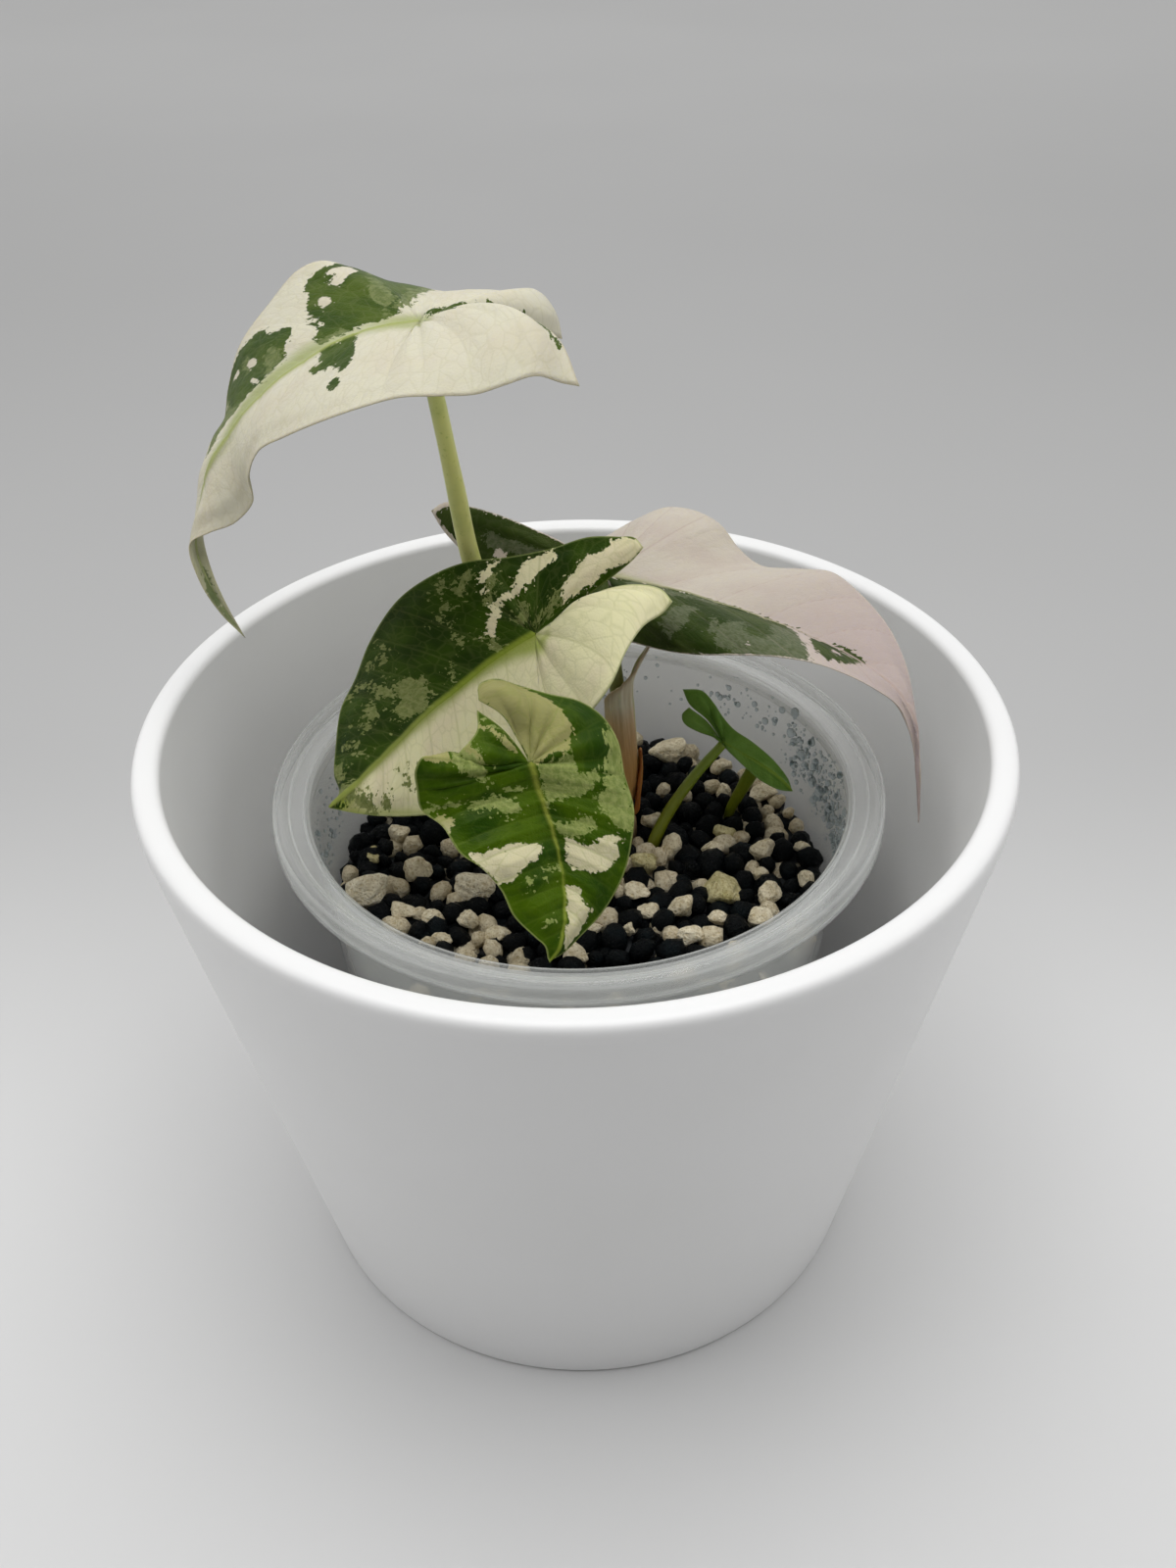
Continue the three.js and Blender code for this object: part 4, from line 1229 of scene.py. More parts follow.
@dataclass(frozen=True)
class Condensation:
    """Water beads inside the clear wall and one drop on the front leaf; sizes are in millimetres."""

    pot: ClearPot
    # Larger drops: angle round the pot in degrees, height and radius.
    drops: Rows = (
        (28.7, 95.1, 1.1), (20.3, 97.2, 0.9), (23.3, 92.4, 1.2), (21.3, 91.0, 0.9), (17.2, 93.0, 1.0),
        (12.7, 89.5, 1.2), (14.0, 87.6, 0.9), (33.0, 98.5, 0.8), (9.0, 94.0, 0.8), (26.0, 88.5, 0.9),
        (38.0, 93.5, 0.8), (15.0, 86.0, 0.9), (42.0, 96.0, 0.7), (47.0, 94.0, 0.7), (50.0, 97.0, 0.6),
        (5.0, 90.0, 0.8), (3.0, 87.5, 0.9), (0.0, 91.5, 0.6), (-4.0, 88.0, 0.8), (7.0, 86.5, 0.7),
        (-172.0, 95.4, 0.6), (-175.0, 88.0, 0.7), (176.0, 97.5, 0.5),
    )
    # The drop on the front leaf: its place, the leaf's normal there and its radius.
    leaf_drop: tuple[Place, Place, float] = ((-2.7, -26.1, 122.9), (0.28, -0.83, 0.49), 0.75)
    # Bands of fine beads: first and last angle, lowest and highest height, how many.
    bands: tuple[tuple[float, float, float, float, int], ...] = (
        (-16.0, 30.0, 87.0, 101.0, 340), (2.0, 34.0, 83.0, 98.0, 70), (34.0, 62.0, 90.0, 101.0, 60),
        (168.0, 200.0, 83.0, 99.0, 90), (-80.0, -16.0, 84.0, 97.0, 120), (62.0, 168.0, 88.0, 101.0, 110),
    )
    # A drop is a sphere squashed to this share of its height, and is never larger than this radius.
    squash: float = 0.85
    largest: float = 1.3
    seed: int = 11

    def build(self) -> Piece:
        """All drops as one mesh: each dome is turned so that its axis points into the pot."""
        rng = np.random.default_rng(self.seed)
        beads = [np.array(self.drops)]
        for first, last, low, high, count in self.bands:
            angle = rng.uniform(first, last, count)
            height = low + (high - low) * rng.beta(1.1, 1.6, count)
            beads.append(np.stack([angle, height, rng.gamma(2.2, 0.085, count) + 0.13], -1))
        angle, height, size = np.vstack(beads).T
        angle, flat = np.radians(angle), np.zeros(len(angle))
        radius = self.pot.radius(height) - self.pot.wall / 2
        drop, drop_normal, drop_size = self.leaf_drop
        centre = np.column_stack([np.asarray(self.pot.axis) + polar(radius, angle), height])
        centre = np.vstack([centre, [drop]])
        inward = np.stack([-np.cos(angle), -np.sin(angle), flat], -1)
        inward = np.vstack([inward, unit(np.array([drop_normal]))])
        around = np.stack([-np.sin(angle), np.cos(angle), flat], -1)
        around = np.vstack([around, unit(np.cross(drop_normal, [[0.0, 0.0, 1.0]]))])
        size = np.minimum(np.append(size, drop_size), self.largest)[:, None, None]
        dome, faces = ball(6, 9)
        dome = dome * [1.0, 1.0, self.squash]
        upright = np.cross(inward, around)[:, None]
        tall = rng.uniform(0.9, 1.2, len(size))[:, None, None]
        shape = around[:, None] * dome[None, :, :1] + upright * dome[None, :, 1:2] * tall
        shape = shape + inward[:, None] * dome[None, :, 2:]
        vertices = (centre[:, None] + shape * size).reshape(-1, 3) * MM
        faces = outward(vertices, repeated(faces, len(dome), len(size)))
        return dress(make_mesh("condensation", vertices, faces), Water().build(), "clear_plastic")


@dataclass(frozen=True)
class MineralMix:
    """The mix: a bed up to its surface, and loose granules and grit over it; sizes are in millimetres."""

    pot: ClearPot
    top: float = 79.5
    stones: int = 34
    # What already stands in the mix: x, y and radius of the corm and the two shoots of the offset.
    shoots: Rows = ((4.8, 16.8, 8.2), (15.4, 10.2, 1.2), (32.2, 20.8, 1.0))
    spacing: float = 4.9
    # Each layer's height over the surface, and the size of its grains.
    layers: Rows = ((-2.4, 1.05), (-0.2, 0.95))
    pale_share: float = 0.23
    pale_drift: float = 0.12
    grit_size: float = 0.96
    rounds: int = 40
    # Seeds of the places, the tones and the shapes.
    seeds: tuple[int, int, int] = (21, 41, 61)

    def bed(self) -> Piece:
        """The bed under the loose grains, as a turned body inside the clear wall."""
        low = self.pot.foot + self.pot.kick_up + self.pot.wall + 0.3
        high, bevel = self.top - 1.4, 1.5
        levels = np.array([low, low + bevel, high - bevel, high])
        foot, first, last, face = self.pot.radius(levels) - self.pot.wall / 2 - 0.4
        side = np.linspace([first, low + bevel], [last, high - bevel], 30)
        profile = np.vstack([[[0, low], [foot - bevel, low]], side, [[face - bevel, high], [0, high]]])
        piece = make_mesh("mix_bed", *lathe(profile * MM, 160, self.pot.centre()))
        return dress(piece, MixFace().build(), "mineral_mix", "substrate")

    def scatter(self, seed: int, stones: Array) -> tuple[Array, Array]:
        """Places for grains: a jittered triangular grid whose grains then push each other apart.

        Each round moves a pair by a share of its overlap, and a grain off the stones and inside the wall.

        Args:
            seed: number that picks the jitter and the sizes.
            stones: (n, 3) x, y and radius of what is already there.

        Returns:
            Places (n, 2) and radii (n).
        """
        rng = np.random.default_rng(seed)
        reach = self.pot.radius(self.top) - self.pot.wall / 2
        x, y = np.meshgrid(*2 * [np.arange(-14, 15)])
        grid = [(x + 0.5 * (y % 2)) * self.spacing, y * self.spacing * 0.866]
        place = np.stack(grid, -1).reshape(-1, 2)
        place += rng.normal(scale=0.25 * self.spacing, size=place.shape)
        size = 0.5 * self.spacing * rng.uniform(0.72, 1.28, len(place))
        keep = np.hypot(*place.T) < reach - 0.6 * size
        centre = np.asarray(self.pot.axis)
        place, size = place[keep] + centre, size[keep]
        for _ in range(self.rounds):
            gap = place[:, None] - place[None]
            distance = np.maximum(np.linalg.norm(gap, axis=-1), TINY)
            overlap = np.maximum(size[:, None] + size[None] - distance, 0.0)
            np.fill_diagonal(overlap, 0.0)
            place += 0.35 * (gap / distance[..., None] * overlap[..., None]).sum(1)
            off = place[:, None] - stones[None, :, :2]
            distance = np.maximum(np.linalg.norm(off, axis=-1), TINY)
            inside = np.maximum(stones[None, :, 2] + 0.75 * size[:, None] - distance, 0.0)
            place += (off / distance[..., None] * inside[..., None]).sum(1)
            out = place - centre
            held = (reach - size - 0.15) / np.maximum(np.linalg.norm(out, axis=1), TINY)
            place = centre + out * np.minimum(1.0, held)[:, None]
        return place, size

    def grains(self, centre: Array, size: Array, angular: float) -> tuple[Array, Array]:
        """Many small lumps as one mesh: each is a coarse ball, dented by waves, stretched and turned.

        Args:
            centre: (n, 3) places.
            size: radii.
            angular: how deep the dents are, as a share of the radius.

        Returns:
            Vertices and faces.
        """
        seed = self.seeds[2]
        rng = np.random.default_rng(seed)
        points, faces = ball(6, 7)
        count = len(size)
        stretch = rng.uniform(0.82, 1.15, (count, 1, 3)) * [1.0, 1.0, 0.85]
        dent = waves(points[None] * 2.2 + rng.uniform(0, 40, (count, 1, 3)), seed, 1.0)
        lumps = points[None] * (1 + angular * dent[..., None]) * stretch
        turn, _ = np.linalg.qr(rng.normal(size=(count, 3, 3)))
        turn *= np.sign(np.linalg.det(turn))[:, None, None]
        lumps = np.einsum("nij,nkj->nki", turn, lumps)
        vertices = (centre[:, None] + lumps * size[:, None, None]).reshape(-1, 3)
        return vertices * MM, repeated(faces, len(points), count)

    def build(self, pitted: Tree) -> None:
        """The bed, then layers of dark granules with pale grit among them."""
        self.bed()
        boxes = [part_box(f"pumice_stone_{i + 1:02d}") for i in range(self.stones)]
        stones = np.array([
            [(lo.x + hi.x) / 2, (lo.y + hi.y) / 2, 0.42 * min(hi.x - lo.x, hi.y - lo.y)] for lo, hi in boxes
        ]) / MM
        taken = np.vstack([stones, self.shoots])
        layers = []
        for layer, (height, share) in enumerate(self.layers):
            place, size = self.scatter(self.seeds[0] + layer, taken if layer else taken[:0])
            rng = np.random.default_rng(self.seeds[1] + layer)
            drift = self.pale_drift * np.sin(place[:, 0] / 9.0) * np.cos(place[:, 1] / 7.0)
            pale = rng.uniform(size=len(size)) < self.pale_share + drift
            rise = self.top + height + rng.uniform(-0.5, 0.9, len(size))
            layers.append((np.column_stack([place, rise]), share * size, pale))
        centre, size, pale = (np.concatenate(parts) for parts in zip(*layers))
        grit = Pumice("pale_grit", (0.80, 0.72, 0.54), (0.60, 0.51, 0.34))
        for name, slot, finish, angular, scale, chosen in (
            ("clay_granules", "mineral_mix", Granule(), 0.20, 1.0, ~pale),
            ("pumice_grit", "pumice", grit, 0.22, self.grit_size, pale),
        ):
            vertices, faces = self.grains(centre[chosen], scale * size[chosen], angular)
            dress(make_mesh(name, vertices, faces), finish.build(pitted), slot)


@dataclass(frozen=True)
class PumiceStones:
    """The larger loose stones, one piece for each node."""

    count: int = 34
    first_seed: int = 100
    yellow: tuple[int, ...] = (3, 13, 19, 20)
    bright: tuple[int, ...] = (1, 8, 25)

    def lump(self, seed: int) -> tuple[Array, Array]:
        """A worn many-sided stone inside the unit ball.

        In direction d the radius is the blend of planes, (sum of (d . n / h)^p)^(-1/p), which is a polyhedron
        with rounded edges, times waves of two sizes.

        Args:
            seed: number that picks the planes.

        Returns:
            Vertices and faces.
        """
        points, faces = ball(40, 64)
        rng = np.random.default_rng(seed)
        planes = unit(rng.normal(size=(12, 3)))
        lean = np.maximum(points @ planes.T / rng.uniform(0.74, 1.0, 12), 0.0)
        blend, longest = 6, 1.3
        radius = np.minimum(np.maximum((lean**blend).sum(-1), TINY) ** (-1 / blend), longest)
        knobs = np.maximum(waves(points, seed + 1, 4.5), -0.6)
        radius *= 1 + 0.07 * knobs + 0.035 * waves(points, seed + 2, 11.0)
        return points * radius[:, None], faces

    def build(self, pitted: Tree) -> None:
        """Fits a lump into the box of each stone's node."""
        plain = Pumice("pale_pumice", (0.92, 0.84, 0.64), (0.72, 0.63, 0.43)).build(pitted)
        yellow = Pumice("yellow_pumice", (0.72, 0.66, 0.38), (0.50, 0.45, 0.20)).build(pitted)
        bright = Pumice("bright_pumice", (0.97, 0.90, 0.71), (0.86, 0.76, 0.55)).build(pitted)
        tones = dict.fromkeys(self.yellow, yellow) | dict.fromkeys(self.bright, bright)
        for number in range(1, self.count + 1):
            node = f"pumice_stone_{number:02d}"
            low, high = (np.array(corner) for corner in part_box(node))
            points, faces = self.lump(self.first_seed + 7 * number)
            middle = (points.max(0) + points.min(0)) / 2
            points = (points - middle) / (points.max(0) - points.min(0)) * (high - low) + (low + high) / 2
            piece = make_mesh(f"pumice_lump_{number:02d}", points, faces)
            dress(piece, tones.get(number, plain), "pumice", node)


@dataclass(frozen=True)
class Stalk:
    """A leaf stalk: centre points from the foot up and the radii at both ends, in millimetres."""

    node: str
    points: Rows
    radii: tuple[float, float]
    reach: float = 0.7

    def build(self, skin: Material) -> Piece:
        """The stalk as a tube of slightly uneven radius, run on by reach to meet the blade."""
        line = dense_line(self.points, 10)
        line = np.vstack([line, line[-1] + self.reach * unit(line[-1] - line[-2])])
        share = run_of(line) / run_of(line)[-1]
        radius = self.radii[0] + (self.radii[1] - self.radii[0]) * share
        radius = radius * (1 + 0.02 * np.sin(share * 31.0))
        vertices, faces, shares = tube(line, radius, 28)
        turn = np.arctan2(vertices[:, 0], vertices[:, 1])
        uv = np.stack([turn * self.radii[0] * MM, shares * run_of(line)[-1] * MM], -1)
        piece = make_mesh(self.node + "_tube", vertices * MM, faces, uv, {"share": shares})
        return dress(piece, skin, "stalk_skin", self.node)


@dataclass(frozen=True)
class Wrap:
    """A thin scale round a line: levels of (x, y, z, radius, first angle, last angle) in mm and degrees."""

    node: str
    slot: str
    levels: Rows
    thickness: float = 0.4
    rows: int = 70
    columns: int = 40

    def build(self, skin: Material) -> Piece:
        """The scale: an arc at each height, P = centre + r (cos a, sin a), with waves along it.

        Args:
            skin: the scale's finish.

        Returns:
            The piece.
        """
        level = along(dense_line(self.levels, 12), np.linspace(0, 1, self.rows + 1))
        across = np.linspace(0, 1, self.columns + 1)
        angle = np.radians(level[:, 4:5] + (level[:, 5:6] - level[:, 4:5]) * across)
        rise = np.broadcast_to(np.linspace(0, 1, self.rows + 1)[:, None], angle.shape)
        crease = 0.12 * np.sin(angle * 9.0 + rise * 3.0) + 0.1 * np.sin(angle * 17.0)
        radius = level[:, 3:4] + crease * smoothstep(rise * 4)
        height = np.broadcast_to(level[:, 2:3], angle.shape)
        sheet = np.concatenate([level[:, None, :2] + polar(radius, angle), height[..., None]], -1)
        sheet = sheet.reshape(-1, 3)
        triangles = grid_triangles(np.arange(len(sheet)).reshape(angle.shape))
        offset = vertex_normals(sheet, triangles) * 0.5 * self.thickness
        vertices, faces = thicken(sheet, offset, triangles)
        uv = np.stack([(angle * radius).ravel() * MM, height.ravel() * MM], -1)
        values = {"share": np.tile(rise.ravel(), 2), "across": np.tile(across, 2 * len(angle))}
        faces = outward(vertices, faces)
        piece = make_mesh(self.node + "_skin", vertices * MM, faces, np.tile(uv, (2, 1)), values)
        return dress(piece, skin, self.slot, self.node)


@dataclass(frozen=True)
class Corm:
    """The buried stem base that carries the stalks; sizes are in millimetres."""

    axis: tuple[float, float] = (4.8, 16.8)
    top: float = 82.5
    bottom: float = 62.0
    radius: float = 7.6

    def build(self) -> Piece:
        """A turned turnip shape with a barky skin."""
        r, low, high = self.radius, self.bottom, self.top
        outline = [[0, low], [0.6 * r, low + 1.5], [r, low + 8], [r, high - 1.2], [r - 1, high], [0, high]]
        profile = chaikin(np.array(outline, float))
        vertices, faces = lathe(profile * MM, 72, (self.axis[0] * MM, self.axis[1] * MM))
        height = vertices[:, 2]
        values = {"share": (height / MM - low) / (high - low), "across": np.full(len(height), 0.5)}
        piece = make_mesh("corm_body", vertices, faces, vertices[:, [0, 2]], values)
        ring = (0.2, 0.1, 0.05)
        bark = DryScale("corm_bark", (0.20, 0.13, 0.06), (0.30, 0.20, 0.10), ring, ring, 0.8)
        return dress(piece, bark.build(), "corm_skin", "corm")


def tall_leaf() -> Leaf:
    """The high arched leaf at the left: cream, with dark clusters on its rear half and by the midrib."""
    skin = LeafSkin(
        "tall_skin", pale=(0.58, 0.555, 0.44), warm=(0.55, 0.5, 0.39), blush=(0.42, 0.4, 0.27),
        lime=(0.3, 0.34, 0.13), deep=(0.026, 0.056, 0.004), deep_light=(0.06, 0.095, 0.01),
        sage=(0.15, 0.18, 0.065), rib=(0.3, 0.34, 0.1), rib_tip=(0.3, 0.33, 0.12), vein=(0.4, 0.37, 0.23),
        margin=(0.5, 0.44, 0.33), reach=3, grain=2.2,
    )
    front = HalfBlade(
        edge=(
            (-61, -2.7, 143.4), (-63.8, -1.6, 149.2), (-64.8, 0.2, 155), (-61, -0.5, 157.5), (-56.5, 0, 159),
            (-53, 0.5, 162.5), (-52.5, -1.5, 168), (-50, -3, 173), (-44.5, -6.5, 177), (-37.5, -10, 181),
            (-31, -11, 183.5), (-25, -12.5, 185.5), (-19, -13.5, 186), (-13.5, -13, 186), (-9, -12, 187),
            (-4.5, -10, 187.5), (-0.5, -8, 185.5), (2, -8, 185),
        ),
        turn=11,
        cleft=((-18, 13, 189.5), (-12, 9, 191), (-6, 5.5, 191), (-1, -0.5, 189.5)),
        marks=(
            (DEEP, (0, 0), (0, 100), (12, 100), (16, 50), (19, 0)),
            (DEEP, (78, 0), (78.5, 12), (80, 22), (81, 30), (83, 41), (85, 40), (87, 46), (89, 54), (90, 48),
             (89.5, 30), (88, 17), (87, 0)),
            (DEEP, (78.5, 26), (79, 33), (81, 40), (83, 38), (82, 28)),
            (DEEP, (88.5, 60), (87.5, 65), (89, 73), (90, 70), (90, 60)),
            # A dark strip along the sinus: partly the green margin seen edge-on, partly painted shade.
            (DEEP, (198, 5, 0.8), (197, 30, 1), (197, 55, 0.9), (198, 80, 0.5)),
            (SAGE, (2, 50, 1.2), (9, 80, 1.2)),
            (LIME, (42, 0, 0), (70, 0, 0.2), (95, 2, 1), (120, 8, 1.2), (190, 8, 1.2)),
        ),
    )
    rear = HalfBlade(
        edge=(
            (-59.4, -2.1, 143.6), (-61.4, -0.2, 148.4), (-63.2, 3.4, 152.6), (-64, 7, 155.5),
            (-64, 10, 157.5), (-64, 13.5, 160.5), (-63, 17, 164.5), (-60.5, 20, 168.5), (-59.5, 23.5, 173.5),
            (-57, 26.5, 180), (-52, 30.5, 185.5), (-46.5, 33.5, 190.5), (-42, 33.5, 192),
            (-36.5, 35.5, 189.5), (-31, 37, 187), (-24, 38, 185), (-17, 38.5, 184.5), (-10, 38, 184.5),
            (-5, 36.5, 185), (-2, 34, 182), (-1, 32, 178),
        ),
        turn=12,
        cleft=((-17.5, 16.5, 186.5), (-9.5, 20.5, 184.5), (-4, 25.5, 181.5)),
        marks=(
            (LIME, (43, 5, 1), (58, 10, 2.6), (74, 8, 2.4), (100, 3, 1.6), (150, 6, 1.6), (180, 10, 1)),
            (DEEP, (12, 0), (12, 20), (16, 45), (19, 20), (19, 0)),
            (DEEP, (46, 42), (52, 80), (56, 100), (70, 100), (75.5, 95), (77.5, 88), (80, 82), (81, 75),
             (80, 68), (82, 60), (82.5, 50), (80, 42), (76, 34), (74, 22), (69, 20), (64, 26), (60, 33),
             (52, 35)),
            (DEEP, (80, 10), (81, 20), (84, 28), (84.5, 42), (85.5, 40), (86, 30), (87, 36), (87.5, 50),
             (90, 58), (94, 70), (95.5, 79), (98, 83), (102, 86), (108, 88), (113, 97), (118, 100),
             (145, 100), (148, 95), (144, 75), (142, 58), (137, 50), (133, 37), (120, 29), (108, 19),
             (100, 12), (92, 7)),
            (DEEP, (155, 14, 0.5), (175, 19, 0.8), (185, 25, 0.8), (190, 42, 0.5), (194, 60, 0.3)),
            # A grey-green band where the half curves down: partly its sage tone, partly painted shade.
            (SAGE, (45, 38), (52, 75), (56, 100), (63, 100), (62, 80), (59, 60), (58, 36)),
            (SAGE, (67, 21), (70, 35), (73.5, 50), (77, 52), (76, 38), (73, 23)),
            (SAGE, (69, 58, 0.4), (72, 72, 0.7)),
            (SAGE, (81, 10, 0.7), (86, 11, 0.6)),
            (SAGE, (97, 14, 0.6), (105, 30, 1.3), (112, 45, 1.4), (116, 60, 0.8)),
            (SAGE, (115, 22, 0.6), (128, 35, 1.2), (136, 52, 1.2), (142, 75, 1.2), (145, 97, 1.2)),
            (SAGE, (118, 75, 0.5), (126, 98, 0.8)),
            (ISLE, (91, 46), (91.5, 54), (94, 58), (94.5, 52), (92.5, 46)),
            (ISLE, (98.5, 60), (98.5, 68), (105, 72), (103, 80), (110, 83), (114, 80), (112, 72), (106, 66),
             (102, 60)),
            (ISLE, (70.5, 52), (70, 60), (71.5, 67), (73, 65), (72.5, 55)),
            (ISLE, (67.5, 75), (67, 82), (68.5, 87), (69.7, 83), (69, 76)),
            (ISLE, (66, 30, 0.3), (66.5, 40, 0.2)),
            (ISLE, (60, 80, 0.3), (60.5, 87, 0.3)),
        ),
    )
    midrib = (
        (-57, -4, 139), (-60.5, -2, 144.5), (-63, 0, 149.5), (-64, 2, 154), (-62.5, 4, 159.5),
        (-60.5, 5.5, 166), (-56.5, 7, 171.5), (-50, 8, 178), (-41.5, 9.5, 183.5), (-33, 11, 187),
        (-24, 12, 188),
    )
    return Leaf("leaf_tall", "leaf_white_green", skin, midrib, front, rear, rib_width=0.6)


def centre_leaf() -> Leaf:
    """The broad leaf in the middle: cream in front, deep green behind with sage and pink streaks."""
    skin = LeafSkin(
        "centre_skin", pale=(0.7, 0.67, 0.42), warm=(0.66, 0.58, 0.42), blush=(0.36, 0.34, 0.17),
        lime=(0.24, 0.3, 0.03), deep=(0.008, 0.027, 0), deep_light=(0.025, 0.058, 0.001),
        sage=(0.2, 0.22, 0.08), rib=(0.22, 0.28, 0.03), rib_tip=(0.24, 0.28, 0.06), vein=(0.34, 0.35, 0.13),
        margin=(0.22, 0.27, 0.08), blush_span=(0.8, 0.92), reach=4.4, grain=4.2, ribs=0.3,
    )
    front = HalfBlade(
        edge=(
            (-41, -11, 105.5), (-35.5, -11.5, 105), (-28.5, -11.5, 105), (-20, -11, 106),
            (-11.5, -9.5, 109.5), (-4, -10.5, 117), (2, -11, 125.5), (6.5, -9.5, 131.5), (9.5, -4.5, 135.5),
            (12.5, 0, 137.5), (16.5, 5, 137.5), (18, 6, 139),
        ),
        turn=6,
        cleft=((-1.5, 9, 135), (4.5, 9, 139.5), (11, 9, 141), (16, 8, 140.5)),
        marks=(
            (LIME, (0, 30, 3), (10, 30, 1)),
            (LIME, (10, 0, 0.2), (70, 0, 0.8), (90, 4, 1.7), (100, 8, 2.2), (125, 16, 1.8), (150, 20, 0.8)),
            (LIME, (10, 95, 0.6), (38, 96, 0.6)),
            (DEEP, (2, 60, 0.5), (6, 50, 0.3)),
            (DEEP, (192, 15, 0.8), (195, 45, 0.7)),
            (SAGE, (12, 25, 0.8), (15, 55, 1.5), (17, 80, 1)),
            (SAGE, (24, 60, 0.5), (25, 80, 0.6)),
            (SAGE, (36.5, 42, 0.4), (36, 58, 0.4)),
        ),
    )
    rear = HalfBlade(
        edge=(
            (-44, -6.5, 107), (-45, -4, 109), (-45, 0.5, 112), (-44, 5.5, 117.5), (-41.5, 10.5, 121),
            (-38.5, 14, 127), (-33, 17, 134), (-26.5, 18, 138.5), (-20, 18.5, 141), (-11.5, 18.5, 142),
            (-4, 18.5, 143.5), (3, 18, 146), (8.5, 16, 147), (11.5, 14.5, 147.5), (13, 13.5, 146),
        ),
        turn=8,
        cleft=((-1, 9, 135.5), (5.5, 11, 140), (11, 12.5, 144)),
        marks=(
            (LIME, (20, 0, 0.2), (70, 0, 0.8), (90, 5, 1.8), (100, 8, 1.8), (140, 6, 0.9)),
            (SAGE, (0, 0), (0, 100), (8, 100), (12, 60), (14, 0)),
            (SAGE, (13, 55), (11, 80), (14, 95), (20, 90), (20, 60)),
            (SAGE, (43.5, 13), (45, 22), (46, 30), (50, 37), (53, 45), (53.5, 53), (57.5, 53), (60, 42),
             (62, 35), (61, 25), (57, 12), (54, 5), (50, 6)),
            (SAGE, (52, 50, 1), (51.5, 70, 0.9), (49, 88, 0.7), (45, 94, 0.6), (40, 98, 0.4)),
            (SAGE, (36, 47, 0.5), (37, 60, 0.4)),
            (SAGE, (41, 48, 0.5), (42, 63, 0.4)),
            (SAGE, (43, 50, 0.4), (44, 62, 0.4)),
            (SAGE, (27, 38, 0.3), (28, 50, 0.3), (26.5, 75, 0.4)),
            (SAGE, (63, 76, 0.5), (66, 83, 0.5)),
            (SAGE, (57, 90, 0.4), (64, 83, 0.3)),
            (SAGE, (67, 10, 0.4), (70, 16, 0.3)),
            (SAGE, (82, 30, 0.4), (84, 42, 0.4), (87, 50, 0.3)),
            (SAGE, (88, 8, 0.9), (90, 18, 0.5)),
            (SAGE, (98, 8), (102, 18), (115, 25), (125, 34), (132, 37), (140, 33), (130, 20), (115, 10)),
            (SAGE, (145, 13), (160, 22), (170, 36), (176, 50), (184, 50), (184, 30), (170, 16)),
            (SAGE, (110, 50, 0.8), (118, 62, 1.1), (122, 74, 0.8)),
            (SAGE, (100, 70, 0.7), (110, 80, 0.9)),
            (SAGE, (87, 60, 0.6), (92, 65, 0.5)),
            (SAGE, (95, 80, 0.4), (100, 88, 0.4)),
            (ISLE, (91.5, 20, 0.6), (95, 29, 0.8), (100, 36, 0.7), (110, 43, 0.6), (125, 50, 0.8)),
            (ISLE, (122, 45), (128, 53), (133, 62), (136, 72), (140, 82), (143, 95), (155, 97), (160, 90),
             (153, 78), (147, 68), (138, 56), (127, 46)),
            (ISLE, (112, 62, 0.3), (116, 72, 0.4), (124, 85, 0.5), (130, 96, 0.5)),
            (ISLE, (173, 50), (176, 62), (177, 75), (184, 86), (188, 100), (200, 100), (197, 70), (193, 45),
             (184, 36)),
        ),
        ground=DEEP,
    )
    midrib = (
        (-45.5, -10, 106), (-40.5, -8, 109.5), (-35.5, -5.5, 113.5), (-31, -3, 117), (-26.5, -0.5, 120.5),
        (-21, 2, 124), (-16.5, 4, 127), (-11.5, 5.5, 130), (-7, 7, 132),
    )
    return Leaf("leaf_centre", "leaf_white_green", skin, midrib, front, rear, rib_width=0.9)


